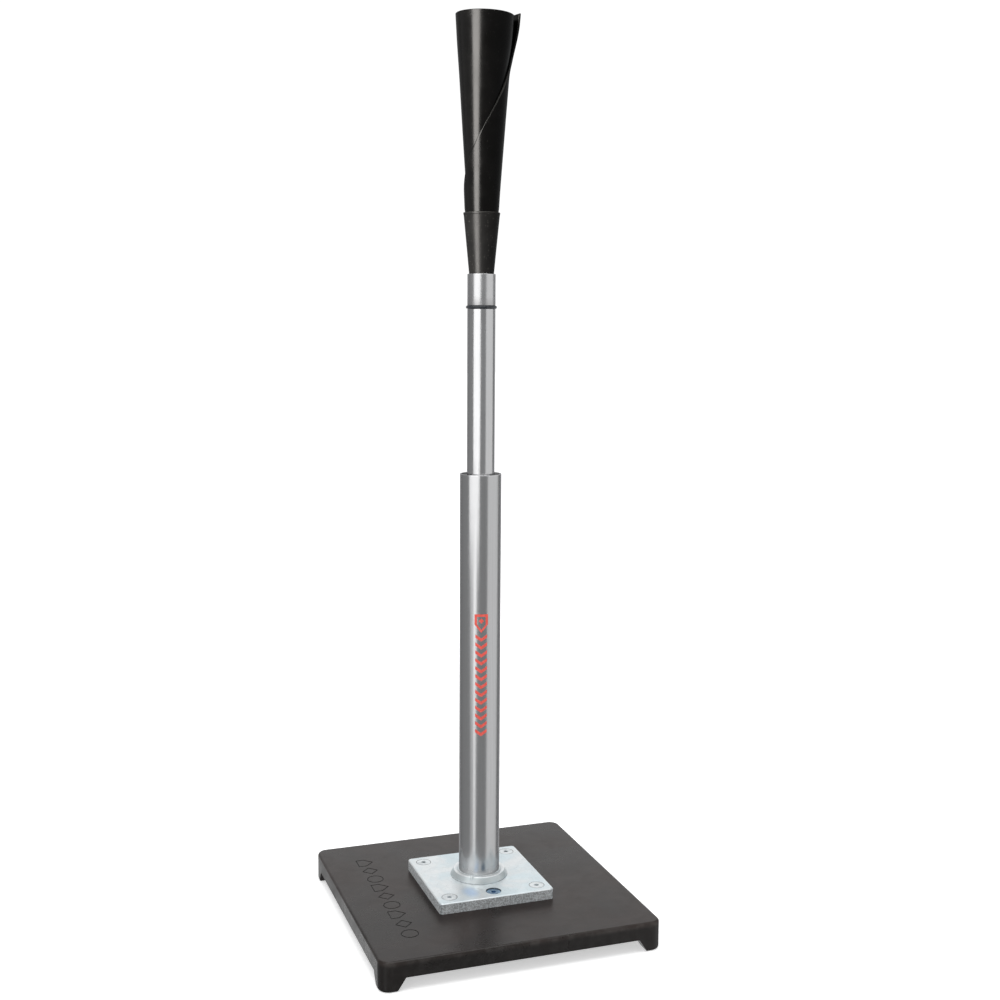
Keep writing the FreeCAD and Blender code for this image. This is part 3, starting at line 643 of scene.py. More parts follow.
def zinc_plating(settings):
    """Bright zinc: tinted crystals, hazy patches, pits, a bright outline that is painted highlight, a rough
    sawn side, a painted blue reflection in front of the post, dark seams round the screws, and the collar's
    rim with a painted highlight, its slope and its foot."""
    finish = Finish("Zinc_plating", Metallic=0.6)
    tree, place = finish.tree, finish.place
    plate_half, plate_top = half_width("mounting_plate"), top_of("mounting_plate")
    collar_half, collar_top = half_width("weld_collar"), top_of("weld_collar")
    crystal = finish.mask("spangle", "Crystal", scale=150.0)
    border = finish.mask("spangle", "Border", scale=150.0)
    cloud = finish.mask("mottle", scale=36.0, spread=0.14)
    tint = finish.mask("mottle", scale=20.0, spread=0.12)
    pits = finish.mask("flecks", scale=420.0, size=0.2, share=0.35)
    rim = finish.mask("square_edge", half_side=plate_half + 0.3 * MM, width=1.6 * MM, breakup=0.3)
    z = parted(tree, place)[2]
    side = spread(tree, z, plate_top - 1.2 * MM, plate_top - 0.6 * MM, 1.0, 0.0)
    finish.paint = coated(tree, settings.zinc, tint, settings.zinc_tint, 0.65)
    finish.coat(crystal, (0.55, 0.60, 0.62), 0.16)
    finish.coat(border, (0.45, 0.47, 0.48), 0.10)
    finish.coat(pits, (0.28, 0.28, 0.27), 0.45)
    speckle = spread(tree, noise(tree, place, 620.0, 3.0, 0.7), 0.42, 0.58)
    rough_side = blended(tree, speckle, (0.025, 0.028, 0.032), (0.42, 0.46, 0.48))
    finish.coat(side, rough_side, 0.95)
    collar_rim_painted_highlight = finish.mask("level_edge", level=collar_top, width=0.7 * MM)
    flat_place = scaled(tree, place, (1.0, 1.0, 0.0))
    from_axis = distance_to_middle(tree, flat_place)
    by_collar = spread(tree, from_axis, collar_half + 0.1 * MM, collar_half + 1.1 * MM, 1.0, 0.0)
    collar_foot = finish.mask("level_edge", level=plate_top + 0.1 * MM, width=0.7 * MM)
    collar_foot = maths(tree, "MULTIPLY", collar_foot, by_collar)
    above_foot = spread(tree, z, plate_top + 0.6 * MM, plate_top + 1.6 * MM)
    under_rim = spread(tree, z, collar_top - 1.0 * MM, collar_top - 0.3 * MM, 1.0, 0.0)
    slope = maths(tree, "MULTIPLY", above_foot, under_rim)
    finish.coat(slope, (0.40, 0.45, 0.45), 0.5)
    finish.coat(collar_foot, (0.20, 0.22, 0.23), 0.6)
    # Painted highlight: a bright line along the collar's rim.
    finish.coat(collar_rim_painted_highlight, (0.97, 0.98, 0.98), 0.7)
    # Painted reflection: a bluish patch on the plate in front of the post.
    oval = {"Vector": place, "Location": (2.3, 2.6, 0.0), "Scale": (110.0, 68.0, 0.0)}
    near = distance_to_middle(tree, node(tree, "ShaderNodeMapping", oval).outputs[0])
    painted_blue_reflection = spread(tree, near, 0.2, 1.1, 0.55, 0.0)
    finish.coat(painted_blue_reflection, (0.40, 0.58, 0.86))
    # Painted highlight: a bright line round the plate's outline.
    finish.coat(rim, (0.95, 0.96, 0.96), 0.5)
    seam = {"radius": 6.9 * MM, "width": 0.45 * MM}
    seams = finish.mask("seam_ring", **seam)
    front = finish.mask("seam_ring", across=0.0, **seam)
    front = maths(tree, "MULTIPLY", front, maths(tree, "LESS_THAN", parted(tree, place)[1], 0.0))
    seams = maths(tree, "ADD", seams, front, clamp=True)
    finish.coat(seams, (0.07, 0.07, 0.07), 0.85)
    finish.rough = raised(tree, 0.33, cloud, 0.12)
    finish.roughen(crystal, 0.08)
    finish.roughen(side, 0.16)
    rolled = noise(tree, scaled(tree, place, (90.0, 900.0, 900.0)), 1.0, 3.0, 0.6)
    grain = finish.mask("grain", "Height", scale=1500.0, coarse=0.8)
    height = raised(tree, grain, rolled, 0.4)
    height = maths(tree, "SUBTRACT", height, maths(tree, "MULTIPLY", pits, 0.5))
    height = maths(tree, "SUBTRACT", height, maths(tree, "MULTIPLY", side, speckle))
    return finish.dressed(height, 0.08 * MM, 0.55)


def plain_steel(name, tone, rough_low=0.26, rough_high=0.42):
    """Plated hardware: turned grain, smudges and small pits."""
    finish = Finish(name, Metallic=1.0)
    tree = finish.tree
    smudge = finish.mask("mottle", scale=140.0, spread=0.16)
    pits = finish.mask("flecks", scale=900.0, size=0.2, share=0.3)
    dark = tuple(0.62 * c for c in tone)
    finish.paint = coated(tree, tone, smudge, dark, 0.5)
    finish.coat(pits, (0.12, 0.12, 0.12), 0.5)
    finish.rough = spread(tree, smudge, 0.0, 1.0, rough_low, rough_high)
    grain = finish.mask("grain", "Height", scale=2600.0, coarse=0.6)
    return finish.dressed(grain, 0.03 * MM, 0.6)


def ground_tube(name, tone, shine, mouth_level, foot_level):
    """Ground steel tube: fine lengthwise lines, rare scratches, faint smudges, a painted highlight at the
    mouth and painted shade in a band at the foot.
    The tint darkens the steel where it is seen nearly edge on."""
    finish = Finish(name, Metallic=1.0)
    tree = finish.tree
    finish.shader.inputs["Specular Tint"].default_value = (0.3, 0.3, 0.31, 1.0)
    lines = finish.mask("drawn", "Lines", fineness=1.0)
    scratch = finish.mask("drawn", "Scratches", fineness=1.0)
    smudge = finish.mask("mottle", scale=30.0, spread=0.2)
    pits = finish.mask("flecks", scale=620.0, size=0.13, share=0.16)
    mouth = finish.mask("level_edge", level=mouth_level, width=1.2 * MM)
    foot = finish.mask("level_edge", level=foot_level, width=8.0 * MM)
    finish.paint = blended(tree, spread(tree, lines, 0.3, 0.7, 0.0, 0.22), tone, tuple(0.8 * c for c in tone))
    finish.coat(scratch, (0.85, 0.85, 0.85), 0.25)
    finish.coat(pits, (0.22, 0.21, 0.20), 0.35)
    # Painted shade: a darker band at the foot, where the tube meets the part below it.
    finish.coat(foot, (0.30, 0.29, 0.28), 0.35)
    # Painted highlight: a bright band at the tube's mouth.
    finish.coat(mouth, (0.92, 0.92, 0.93), 0.6)
    finish.rough = raised(tree, shine - 0.04, lines, 0.10)
    finish.roughen(smudge, 0.05)
    finish.roughen(foot, 0.15)
    height = raised(tree, lines, scratch, 0.6)
    return finish.dressed(height, 0.012 * MM, 0.35)


def moulded_black(name, dark, light, rough, grain_scale=1200.0, depth=0.05 * MM):
    """Black rubber or plastic: patches, dusty specks, fine grain."""
    finish = Finish(name)
    tree = finish.tree
    patches = finish.mask("mottle", scale=70.0, spread=0.2)
    dust = finish.mask("flecks", scale=800.0, size=0.16, share=0.3)
    finish.paint = blended(tree, patches, dark, light)
    finish.coat(dust, (0.12, 0.12, 0.115), 0.35)
    finish.rough = raised(tree, rough, patches, 0.1)
    grain = finish.mask("grain", "Height", scale=grain_scale, coarse=0.7)
    return finish.dressed(grain, depth, 0.6)


def natural_nylon():
    """Milky nylon: warm patches, turned lines and specks."""
    finish = Finish("Natural_nylon")
    tree, place = finish.tree, finish.place
    finish.shader.inputs["Subsurface Weight"].default_value = 0.15
    finish.shader.inputs["Subsurface Radius"].default_value = (0.002, 0.0018, 0.0014)
    patches = finish.mask("mottle", scale=80.0, spread=0.2)
    dust = finish.mask("flecks", scale=700.0, size=0.15, share=0.25)
    rings = noise(tree, scaled(tree, place, (40.0, 40.0, 2200.0)), 1.0, 2.0, 0.5)
    finish.paint = blended(tree, patches, (0.70, 0.67, 0.58), (0.78, 0.76, 0.69))
    finish.coat(dust, (0.35, 0.32, 0.27), 0.5)
    finish.rough = raised(tree, 0.38, patches, 0.12)
    return finish.dressed(rings, 0.04 * MM, 0.5)


def cone_rubber(settings):
    """Shiny black sheet rubber: faint bands and smears, dusty specks, greyer cut edges that are partly the
    rubber's own grey and partly painted highlight.
    """
    finish = Finish("Cone_rubber", IOR=1.24)
    tree, place = finish.tree, finish.place
    smear = finish.mask("mottle", scale=38.0, spread=0.2)
    cloud = finish.mask("mottle", scale=90.0, spread=0.2)
    dust = finish.mask("flecks", scale=620.0, size=0.13, share=0.25)
    cut = node(tree, "ShaderNodeAttribute", attribute_name="cut_edge").outputs["Fac"]
    smeared = tuple(1.7 * c for c in settings.sheet_colour)
    finish.paint = blended(tree, smear, settings.sheet_colour, smeared)
    finish.coat(dust, (0.05, 0.048, 0.045), 0.4)
    # The paler cut edge is partly the rubber's own grey and partly a painted highlight.
    finish.coat(cut, settings.cut_edge_grey_and_highlight)
    finish.rough = raised(tree, 0.18, smear, 0.06)
    finish.roughen(cloud, 0.05)
    finish.roughen(cut, 0.2)
    bands = noise(tree, scaled(tree, place, (30.0, 30.0, 420.0)), 1.0, 2.0, 0.5)
    grain = finish.mask("grain", "Height", scale=1500.0, coarse=0.7)
    height = maths(tree, "ADD", grain, bands)
    return finish.dressed(height, 0.02 * MM, 0.25)


def sleeve_rubber(settings):
    """Duller rubber sleeve: patches, powdery specks, a rubbed lip."""
    finish = Finish("Sleeve_rubber", IOR=1.24)
    tree = finish.tree
    patches = finish.mask("mottle", scale=60.0, spread=0.2)
    dust = finish.mask("flecks", scale=560.0, size=0.2, share=0.4)
    lip = finish.mask("level_edge", level=top_of("neck_sleeve"), width=1.1 * MM)
    dusty = tuple(1.5 * c for c in settings.sleeve_colour)
    finish.paint = blended(tree, patches, settings.sleeve_colour, dusty)
    finish.coat(dust, (0.10, 0.098, 0.09), 0.4)
    finish.coat(lip, (0.04, 0.039, 0.037), 0.3)
    finish.rough = raised(tree, 0.30, patches, 0.08)
    grain = finish.mask("grain", "Height", scale=1100.0, coarse=0.9)
    return finish.dressed(grain, 0.04 * MM, 0.35)


def red_ink(settings):
    """Screen-printed ink: slightly thin in places, scuffed specks."""
    finish = Finish("Red_ink")
    tree = finish.tree
    thin = finish.mask("mottle", scale=260.0, spread=0.2)
    scuffs = finish.mask("flecks", scale=1300.0, size=0.16, share=0.3)
    faded = tuple(min(1.0, 1.15 * c + 0.03) for c in settings.ink)
    finish.paint = coated(tree, settings.ink, thin, faded, 0.6)
    finish.coat(scuffs, (0.45, 0.20, 0.17), 0.5)
    finish.rough = raised(tree, 0.38, thin, 0.12)
    grain = finish.mask("grain", "Height", scale=3000.0, coarse=0.5)
    return finish.dressed(grain, 0.01 * MM, 0.5)


def pale_floor(settings):
    """Matt studio floor with a barely seen unevenness. It glows more with distance, so it meets the white
    surround without a line."""
    finish = Finish("Pale_floor", Roughness=0.9)
    tree = finish.tree
    finish.shader.inputs["Specular IOR Level"].default_value = 0.1
    patches = finish.mask("mottle", scale=1.2, spread=0.3)
    tone = tuple(settings.floor_colour)
    finish.paint = blended(tree, patches, tone, tuple(0.99 * c for c in tone))
    glow = spread(tree, distance_to_middle(tree, finish.place), 0.3, 1.1, 0.50, 1.0)
    tree.links.new(finish.paint, finish.shader.inputs["Base Color"])
    tree.links.new(glow, finish.shader.inputs["Emission Color"])
    finish.shader.inputs["Emission Strength"].default_value = 1.0
    return finish.material


# ---------------------------------------------------------------- operators


class TEE_OT_base(bpy.types.Operator):
    """Finishes the rubber base, its plate and its fasteners, and makes the weld collar."""

    bl_idname = "tee.base"
    bl_label = "Base, plate and fasteners"

    def execute(self, context):
        settings = context.scene.tee_base
        give(base_rubber(settings), "rubber_base")
        zinc = zinc_plating(settings)
        give(zinc, "mounting_plate", "weld_collar")
        screws = plain_steel("Screw_steel", tuple(settings.screw), 0.34, 0.46)
        give(screws, "corner_screws", "base_washers", "base_nuts")
        # The front screw's blue is a painted reflection.
        give(plain_steel("Steel_with_painted_blue_reflection", tuple(settings.front_screw_with_blue_reflection), 0.22, 0.34), "front_screw")
        collar = weld_collar(settings)
        collar.data.materials.append(zinc)
        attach(collar, "base")
        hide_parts("weld_collar")
        return {"FINISHED"}


def weld_collar(settings):
    """The collar's dished outline carried round the post. Its top rises and falls by small ripples, the sum
    of two sines of many turns, and drops in one narrow bell-shaped gap in the weld."""
    tube = half_width("outer_tube")
    foot, rim = half_width("weld_collar"), half_width("weld_collar") - 2.65 * MM
    low, high = bottom_of("weld_collar"), top_of("weld_collar")
    corners = [
        (tube - 0.3 * MM, low),
        (foot, low),
        (foot, low + 1.4 * MM),
        (rim, high),
        (rim - 2.0 * MM, high - 0.15 * MM),
        (tube + 0.9 * MM, high - 0.9 * MM),
        (tube - 0.3 * MM, high - 0.2 * MM),
    ]
    radii = [0.1 * MM, 0.1 * MM, 0.5 * MM, 0.7 * MM, 0.6 * MM, 0.6 * MM, 0.1 * MM]

    def ripple(radius, height, a):
        inward = smoothstep((rim + 1.0 * MM - radius) / (3.0 * MM))
        raised = smoothstep((height - low - 2.5 * MM) / (2.0 * MM))
        waves = np.sin(44.0 * a) + 0.6 * np.sin(71.0 * a + 1.0)
        away = (a - settings.notch_at + math.pi) % TURN - math.pi
        gap = np.exp(-((away / 0.045) ** 2))
        sunk = settings.notch_depth * gap * smoothstep((radius - rim + 1.5 * MM) / (1.0 * MM))
        lift = settings.collar_ripple * (waves * inward * 0.6 - 0.6)
        return radius, height + raised * (lift - sunk)

    return turned_ring("Weld_collar", corners, radii, 240, ripple, 6)


class TEE_OT_post(bpy.types.Operator):
    """Makes the two tubes and the ferrule, and finishes the ring and guide between them."""

    bl_idname = "tee.post"
    bl_label = "Post, sliding tube and ferrule"

    def execute(self, context):
        settings = context.scene.tee_post
        segments = settings.segments
        outer = tube_piece("Outer_tube", "outer_tube", settings.outer_wall, settings.mouth_round, segments)
        steel = ground_tube(
            "Lower_tube_steel",
            tuple(settings.outer_colour),
            settings.shine + 0.02,
            top_of("outer_tube"),
            top_of("weld_collar"),
        )
        place_piece(outer, steel, "base", "outer_tube")
        inner = tube_piece("Inner_tube", "inner_tube", settings.inner_wall, 0.35 * MM, segments)
        steel = ground_tube(
            "Sliding_tube_steel",
            tuple(settings.inner_colour),
            settings.shine,
            top_of("inner_tube"),
            bottom_of("inner_tube"),
        )
        place_piece(inner, steel, "shaft", "inner_tube")
        steel = ground_tube(
            "Ferrule_steel",
            tuple(settings.ferrule_colour),
            settings.shine + 0.06,
            top_of("cone_ferrule"),
            top_of("o_ring"),
        )
        place_piece(ferrule_piece(segments), steel, "ball_rest", "cone_ferrule")
        ring = moulded_black("Ring_rubber", (0.012, 0.014, 0.017), (0.022, 0.026, 0.031), 0.32)
        give(ring, "o_ring")
        bush = moulded_black("Black_nylon", (0.014, 0.014, 0.014), (0.024, 0.024, 0.024), 0.40)
        give(bush, "guide_bush")
        return {"FINISHED"}


def place_piece(piece, material, body, replaced):
    """Gives a piece its finish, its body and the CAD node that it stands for."""
    piece.data.materials.append(material)
    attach(piece, body)
    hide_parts(replaced)


def tube_piece(name, node_name, wall, end_round, segments):
    """A tube: a tall thin rectangle of (radius, height), its corners swept off, carried round the axis."""
    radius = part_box(node_name)[1].x
    low, high = bottom_of(node_name), top_of(node_name)
    corners = [(radius, low), (radius, high), (radius - wall, high), (radius - wall, low)]
    return turned_ring(name, corners, [end_round] * 4, segments)


def ferrule_piece(segments):
    """The cup under the cone with its spigot: one outline from shoulder to cup and down the stem's bore."""
    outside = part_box("cone_ferrule")[1].x
    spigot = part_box("inner_tube")[1].x - 1.68 * MM
    cup = outside - 1.5 * MM
    bore = half_width("stem_stud") + 0.03 * MM
    foot, top = bottom_of("cone_ferrule"), top_of("cone_ferrule")
    shoulder, floor = top_of("o_ring"), bottom_of("neck_sleeve")
    corners = [
        (bore, foot),
        (spigot, foot),
        (spigot, shoulder),
        (outside, shoulder),
        (outside, top),
        (cup, top),
        (cup, floor),
        (bore, floor),
    ]
    radii = [n * MM for n in (0.2, 0.8, 0.1, 0.35, 0.4, 0.3, 0.2, 0.2)]
    return turned_ring("Cone_ferrule", corners, radii, segments)


class TEE_OT_marks(bpy.types.Operator):
    """Prints the red home plate and chevrons down the lower tube."""

    bl_idname = "tee.marks"
    bl_label = "Printed marks"

    def execute(self, context):
        settings = context.scene.tee_mark
        wide = settings.width
        tall = settings.top - settings.bottom
        plate = 0.15 * tall
        shapes = home_plate_shapes(1.14 * wide, plate)
        pitch = (tall - plate - 0.012 * tall) / settings.chevrons
        for count in range(settings.chevrons):
            start = plate + 0.012 * tall + count * pitch
            shapes += chevron_shapes(wide, start, pitch * 0.80)
        pieces = [
            ink_patch(f"Ink_{index}", np.array(shape), settings)
            for index, shape in enumerate(shapes)
        ]
        print_piece = joined("Printed_marks", pieces)
        print_piece.data.materials.append(red_ink(settings))
        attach(print_piece, "base")
        return {"FINISHED"}


def home_plate_shapes(wide, tall):
    """Four-cornered shapes, across and down, that make an outlined home plate with a ball in it."""
    w, t = wide / 2, tall
    line = 0.18 * wide
    shoulder = 0.55 * t
    drop = line * 1.25
    return [
        [(-w, 0.0), (w, 0.0), (w, line), (-w, line)],
        [(-w, line), (-w + line, line), (-w + line, shoulder), (-w, shoulder)],
        [(w - line, line), (w, line), (w, shoulder), (w - line, shoulder)],
        [(-w, shoulder), (-w + line, shoulder), (0.0, t - drop), (0.0, t)],
        [(w - line, shoulder), (w, shoulder), (0.0, t), (0.0, t - drop)],
        [(-0.19 * wide, 0.36 * t), (0.0, 0.22 * t), (0.19 * wide, 0.36 * t), (0.0, 0.50 * t)],
    ]


def chevron_shapes(wide, start, tall):
    """Two slanting bars that meet in a point."""
    w = wide / 2
    bar = 0.52 * tall
    slope = 0.62 * tall
    return [
        [(-w, start), (0.0, start + slope), (0.0, start + slope + bar), (-w, start + bar)],
        [(0.0, start + slope), (w, start), (w, start + bar), (0.0, start + slope + bar)],
    ]


def ink_patch(name, shape, settings):
    """A thin slab of ink on the tube. A point of the four-cornered shape is blended from its corners by
    (1-u)(1-v), u(1-v), u v and (1-u) v, then its distance across is wound round the tube as an angle."""
    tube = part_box("outer_tube")[1].x
    u = np.linspace(0.0, 1.0, 9)[None, :, None]
    v = np.linspace(0.0, 1.0, 3)[:, None, None]
    a, b, c, d = shape
    flat = (1 - u) * (1 - v) * a + u * (1 - v) * b + u * v * c + (1 - u) * v * d
    turn = settings.facing + flat[..., 0] / tube
    height = settings.top - flat[..., 1]

    def at(radius):
        return np.stack([radius * np.cos(turn), radius * np.sin(turn), height], axis=-1)

    return closed_sheet(name, at(tube + settings.film)[::-1], at(tube - 0.02 * MM)[::-1])


class TEE_OT_cone(bpy.types.Operator):
    """Rolls the rubber cone and makes the sleeve that holds it."""

    bl_idname = "tee.cone"
    bl_label = "Rolled cone and sleeve"

    def execute(self, context):
        settings = context.scene.tee_cone
        cone = rolled_cone(settings)
        place_piece(cone, cone_rubber(settings), "ball_rest", "rolled_cone")
        sleeve = neck_sleeve(settings)
        place_piece(sleeve, sleeve_rubber(settings), "ball_rest", "neck_sleeve")
        return {"FINISHED"}


def sleeve_inside(height, settings):
    """The sleeve's inner radius at a height: a straight cone from the ferrule to the lip."""
    low, high = top_of("cone_ferrule"), top_of("neck_sleeve")
    wide = half_width("neck_sleeve") - settings.sleeve_wall
    narrow = half_width("cone_ferrule") - 1.5 * MM - settings.sleeve_wall
    return narrow + (wide - narrow) * (height - low) / (high - low)


def rolled_cone(settings):
    """A sheet rolled into a cone. Two parameters: s, the angle behind the sheet's free edge, and the height.
    Radius = cone radius - drop(s) x thickness + lift x (1 - s / 70 degrees) squared near the free edge.
    Azimuth = the free edge's azimuth + s, and the edge winds down the cone by a fixed turn per millimetre.
    drop(s) goes from 0 to 1 over the first turn, so the sheet passes under its own free edge: by the fourth
    power of the turn low down, and by a smooth step at the rim. The rim falls a little from the sheet's free
    corner, and the axis leans sideways in proportion to height. The sheet's own borders are pared round."""
    foot, rim = bottom_of("rolled_cone"), top_of("rolled_cone")
    lip = top_of("neck_sleeve")
    tall = rim - foot
    falls_over, bend = 330.0, 8.0 * MM
    under_from, under_over, wound_under, overlap = 345.0, 75.0, 1.17, 0.35
    settle_over, lift_over, flap = 40.0 * MM, 52.0 * MM, 70.0
    fine = np.radians([0.0, 0.15, 0.45, 0.9, 1.6])
    middle = np.linspace(math.radians(4.0), settings.wrap - 0.06, 190)
    s = np.concatenate([fine, middle, settings.wrap - fine[::-1]])
    near = np.array([0.0, 0.06, 0.18, 0.38, 0.7]) * MM
    down = np.concatenate([near, np.linspace(2.0 * MM, tall - 2.0 * MM, 96), tall - near[::-1]])
    degree = np.degrees(s)[None, :]
    cut = settings.rim_cut * smoothstep(degree / falls_over)
    height = foot + (tall - down[:, None]) * (tall - cut) / tall

    over = settings.edge_free - height
    wound = (over + np.sqrt(over**2 + bend**2)) / 2
    azimuth = settings.edge_azimuth - math.radians(settings.edge_turn) * wound / MM + s[None, :]

    share = np.clip((height - lip) / (rim - lip), 0.0, 1.0)
    open_radius = (
        settings.throat_radius
        + (settings.rim_radius - settings.throat_radius) * share
        - settings.hollow * 4.0 * share * (1.0 - share)
    )
    held_radius = sleeve_inside(height, settings) - 0.04 * MM
    free = smoothstep((height - lip) / (4.0 * MM))
    radius = held_radius + (open_radius - held_radius) * free
    thickness = settings.squeezed + (settings.rubber - settings.squeezed) * smoothstep(
        (height - lip - 1.0 * MM) / (22.0 * MM)
    )
    turns = degree / 360.0
    first = np.minimum(turns, 1.0)
    spiral = overlap * turns + (1.0 - overlap) * first**4
    step = smoothstep((degree - under_from) / under_over) + overlap * np.maximum(turns - wound_under, 0.0)
    near_rim = smoothstep((height - settings.lift_from) / settle_over)
    drop = spiral + (step - spiral) * near_rim
    lift = settings.lift * smoothstep((height - settings.lift_from) / lift_over)
    flare = lift * np.clip(1.0 - degree / flap, 0.0, 1.0) ** 2
    outside = radius - drop * thickness + flare

    from_side = np.minimum(s, settings.wrap - s)[None, :] * radius
    from_end = np.minimum(down, tall - down)[:, None]
    soft = 0.6 * MM
    bare = 1.0 - np.clip(np.minimum(from_side, from_end) / soft, 0.0, 1.0)
    pared = 0.30 * thickness * (1.0 - np.sqrt(np.clip(1.0 - bare**2, 0.0, 1.0)))
    lean = settings.lean * np.clip((height - lip + 14.0 * MM) / (rim - lip + 14.0 * MM), 0.0, 1.0)
    lean_x, lean_y = lean * math.cos(settings.lean_toward), lean * math.sin(settings.lean_toward)

    def at(r):
        return np.stack([r * np.cos(azimuth) + lean_x, r * np.sin(azimuth) + lean_y, height], axis=-1)

    outer = at(outside - pared)[::-1]
    inner = at(outside - 0.97 * thickness + pared)[::-1]
    cone = closed_sheet("Rolled_cone", outer, inner)
    mask = np.broadcast_to(bare, outside.shape)[::-1].ravel()
    edge = cone.data.attributes.new("cut_edge", "FLOAT", "POINT")
    edge.data.foreach_set("value", np.concatenate([mask, mask]).astype(np.float32))
    return cone


def neck_sleeve(settings):
    """The sleeve's outline carried round: a straight foot in the ferrule, a widening neck, a small bead."""
    top = top_of("neck_sleeve")
    foot, ferrule = bottom_of("neck_sleeve"), top_of("cone_ferrule")
    floor = bottom_of("rolled_cone")
    wide = half_width("neck_sleeve")
    cup = half_width("cone_ferrule") - 1.52 * MM
    neck = wide - 1.35 * MM * settings.lip / (2.2 * MM) * 0.2
    bore = half_width("stem_stud") + 0.03 * MM
    inside = sleeve_inside(top, settings)
    base_inside = sleeve_inside(floor, settings)
    corners = [
        (bore, foot),
        (cup, foot),
        (cup, ferrule),
        (neck, top - settings.lip),
        (wide, top - settings.lip * 0.7),
        (wide + 0.12 * MM, top),
        (inside, top),
        (base_inside, floor),
        (bore, floor),
    ]
    radii = [n * MM for n in (0.2, 0.5, 1.0, 0.3, 0.3, 0.35, 0.3, 0.5, 0.2)]
    return turned_ring("Neck_sleeve", corners, radii, 128)


class TEE_OT_hidden(bpy.types.Operator):
    """Finishes the brake, plugs, wedge and fasteners inside the tubes and the cone."""

    bl_idname = "tee.hidden"
    bl_label = "Inner parts"

    def execute(self, context):
        steel = plain_steel("Inner_hardware_steel", (0.62, 0.62, 0.61))
        give(
            steel,
            "brake_ring",
            "anchor_plug",
            "anchor_pin",
            "brake_screw",
            "brake_washer",
            "stem_stud",
            "stem_washer",
            "stem_nut",
        )
        give(natural_nylon(), "nut_inserts", "end_cap", "cone_wedge")
        brake = moulded_black("Brake_rubber", (0.018, 0.018, 0.018), (0.030, 0.030, 0.029), 0.6)
        give(brake, "bottom_plug", "brake_sleeve")
        return {"FINISHED"}


class TEE_OT_studio(bpy.types.Operator):
    """Sets up the pale floor, the soft lights, the surround and the camera."""

    bl_idname = "tee.studio"
    bl_label = "Studio"

    def execute(self, context):
        settings = context.scene.tee_studio
        context.scene.view_settings.view_transform = "Standard"
        make_floor(settings)
        make_surround(settings)
        share_light(*make_cards(settings))
        NODES["rubber_base"].visible_glossy = False
        make_camera(settings)
        return {"FINISHED"}


def make_floor(settings):
    """A wide flat square at zero: (x, y, 0)."""
    reach = np.linspace(-14.0, 14.0, 57)
    x, y = np.meshgrid(reach, reach)
    floor = mesh_piece("Floor", np.stack([x, y, 0.0 * x], axis=-1), grid_quads(57, 57))
    floor.data.materials.append(pale_floor(settings))
    floor.visible_glossy = False


def make_surround(settings):
    """White behind the object for the camera, a plain grey for everything the surfaces reflect."""
    world = bpy.data.worlds.new("Surround")
    bpy.context.scene.world = world
    world.use_nodes = True
    tree = world.node_tree
    tree.nodes.clear()
    grey = node(tree, "ShaderNodeBackground", {0: (0.98, 0.99, 1.0, 1.0), 1: settings.surround})
    white = node(tree, "ShaderNodeBackground", {0: (1.0, 1.0, 1.0, 1.0), 1: 1.05})
    seen = node(tree, "ShaderNodeLightPath").outputs["Is Camera Ray"]
    mix = node(tree, "ShaderNodeMixShader", {0: seen, 1: grey.outputs[0], 2: white.outputs[0]})
    node(tree, "ShaderNodeOutputWorld", {"Surface": mix.outputs[0]})


def soft_card(name, azimuth, half_angle, low, high, radiance, distance, tint=(1.0, 1.0, 1.0)):
    """An upright rectangle of light that faces the post, as wide as its half angle asks for each side."""
    width = 2 * distance * math.tan(math.radians(half_angle))
    tall = high - low
    lamp = bpy.data.lights.new(name, "AREA")
    lamp.shape = "RECTANGLE"
    lamp.size, lamp.size_y = width, tall
    lamp.energy = radiance * math.pi * width * tall
    lamp.color = tint
    made = bpy.data.objects.new(name, lamp)
    turn = math.radians(azimuth)
    made.location = (distance * math.cos(turn), distance * math.sin(turn), (low + high) / 2)
    made.rotation_euler = (math.radians(90.0), 0.0, turn + math.radians(90.0))
    made.visible_camera = False
    bpy.context.scene.collection.objects.link(made)
    return made


def overhead_light():
    """A large soft square above the tee."""
    lamp = bpy.data.lights.new("Overhead", "AREA")
    lamp.shape = "RECTANGLE"
    lamp.size, lamp.size_y = OVERHEAD_SIDE, OVERHEAD_SIDE
    lamp.energy = OVERHEAD_RADIANCE * math.pi * OVERHEAD_SIDE**2
    made = bpy.data.objects.new("Overhead", lamp)
    made.location = (-0.2, -0.2, 2.6)
    made.visible_camera = False
    bpy.context.scene.collection.objects.link(made)


def make_cards(settings):
    """The upright cards, then the two that light only the cone. Their azimuths count from the camera's."""
    toward = math.degrees(math.atan2(settings.eye[1], settings.eye[0]))
    far = settings.card_distance
    cards = [soft_card(name, toward + turn, *rest, far) for name, turn, *rest in CARDS]
    key = settings.cone_key
    keys = [
        soft_card("Cone_card", toward - 35.0, 15.0, CONE_CARD_FOOT, CARD_TOP, key, far, KEY_TINT),
        soft_card("Cone_fill", toward - 82.0, 30.0, CONE_CARD_FOOT, CARD_TOP, FILL_SHARE * key, far),
    ]
    overhead_light()
    return cards, keys


def light_group(name, pieces, state):
    """A collection of pieces that a card lights alone, or leaves out."""
    group = bpy.data.collections.new(name)
    for piece in pieces:
        group.objects.link(bpy.data.objects[piece])
    for shared in group.collection_objects:
        shared.light_linking.link_state = state
    return group


def share_light(cards, keys):
    """The cone's own cards light only the cone and sleeve, and the other cards leave those two out."""
    dark = ("Rolled_cone", "Neck_sleeve")
    kept = light_group("Lit_by_cone_card", dark, "INCLUDE")
    left_out = light_group("Left_out_by_cards", dark, "EXCLUDE")
    for key in keys:
        key.light_linking.receiver_collection = kept
    for card in cards:
        card.light_linking.receiver_collection = left_out


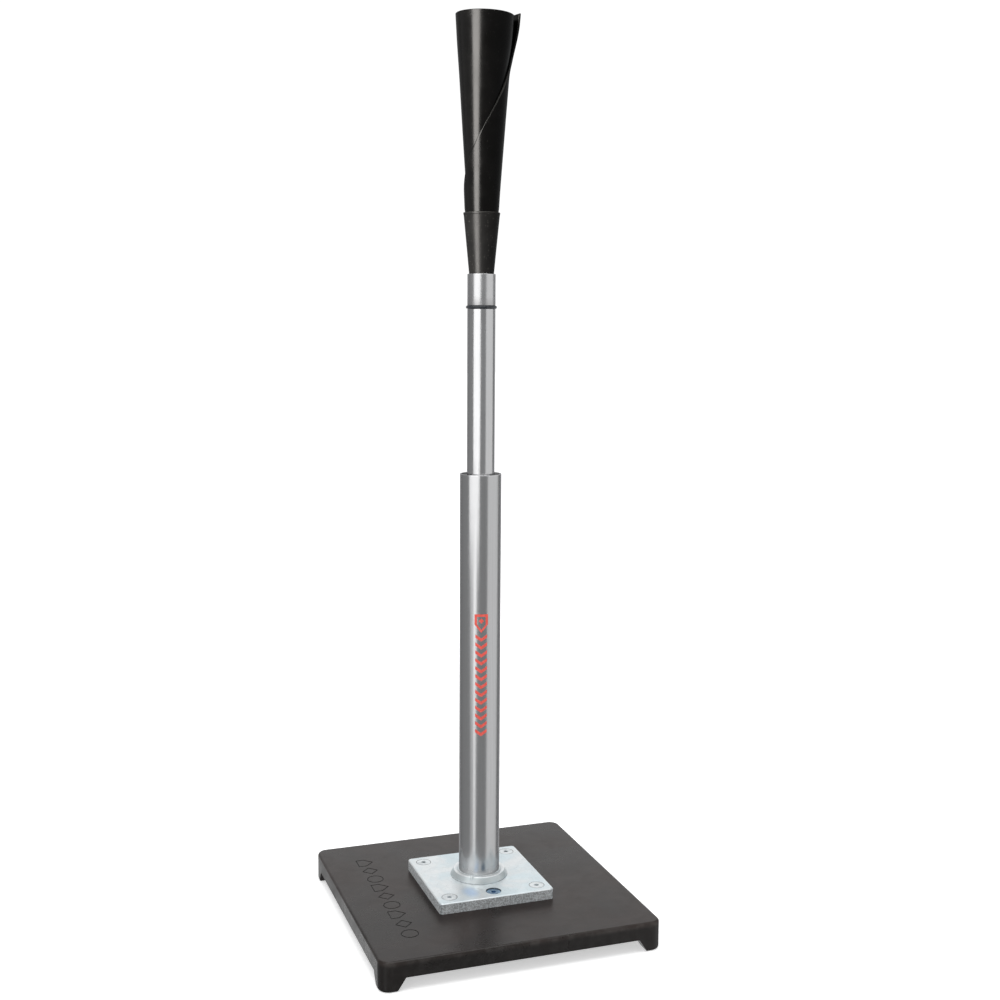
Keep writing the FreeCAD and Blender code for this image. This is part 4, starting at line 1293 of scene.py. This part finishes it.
def make_camera(settings):
    """The camera looks along its yaw and pitch, then rolls about that line."""
    yaw, pitch, roll = settings.yaw, settings.pitch, settings.roll
    forward = np.array(
        [-math.sin(yaw) * math.cos(pitch), math.cos(yaw) * math.cos(pitch), -math.sin(pitch)]
    )
    side = np.array([math.cos(yaw), math.sin(yaw), 0.0])
    up = np.cross(side, forward)
    right = side * math.cos(roll) + up * math.sin(roll)
    above = -side * math.sin(roll) + up * math.cos(roll)
    data = bpy.data.cameras.new("Camera")
    data.sensor_width = 36.0
    data.lens = settings.lens
    data.clip_start = 0.01
    data.dof.use_dof = False
    camera = bpy.data.objects.new("Camera", data)
    matrix = np.eye(4)
    matrix[:3, 0], matrix[:3, 1], matrix[:3, 2], matrix[:3, 3] = right, above, -forward, settings.eye
    bpy.context.scene.collection.objects.link(camera)
    camera.matrix_world = Matrix(matrix.tolist())
    bpy.context.scene.camera = camera


class TEE_PT_panel(bpy.types.Panel):
    """Buttons for each part of the tee's looks."""

    bl_idname = "TEE_PT_panel"
    bl_label = "Batting tee"
    bl_space_type = "VIEW_3D"
    bl_region_type = "UI"
    bl_category = "Batting tee"

    def draw(self, context):
        for operator in OPERATORS:
            self.layout.operator(operator.bl_idname)


OPERATORS = (TEE_OT_base, TEE_OT_post, TEE_OT_marks, TEE_OT_cone, TEE_OT_hidden, TEE_OT_studio)


def register():
    for settings in SETTINGS.values():
        bpy.utils.register_class(settings)
    for name, settings in SETTINGS.items():
        setattr(bpy.types.Scene, name, bpy.props.PointerProperty(type=settings))
    for operator in OPERATORS:
        bpy.utils.register_class(operator)
    bpy.utils.register_class(TEE_PT_panel)


def unregister():
    bpy.utils.unregister_class(TEE_PT_panel)
    for operator in reversed(OPERATORS):
        bpy.utils.unregister_class(operator)
    for name, settings in SETTINGS.items():
        delattr(bpy.types.Scene, name)
        bpy.utils.unregister_class(settings)


def main():
    register()
    bpy.ops.tee.base()
    bpy.ops.tee.post()
    bpy.ops.tee.marks()
    bpy.ops.tee.cone()
    bpy.ops.tee.hidden()
    bpy.ops.tee.studio()


if __name__ == "__main__":
    main()
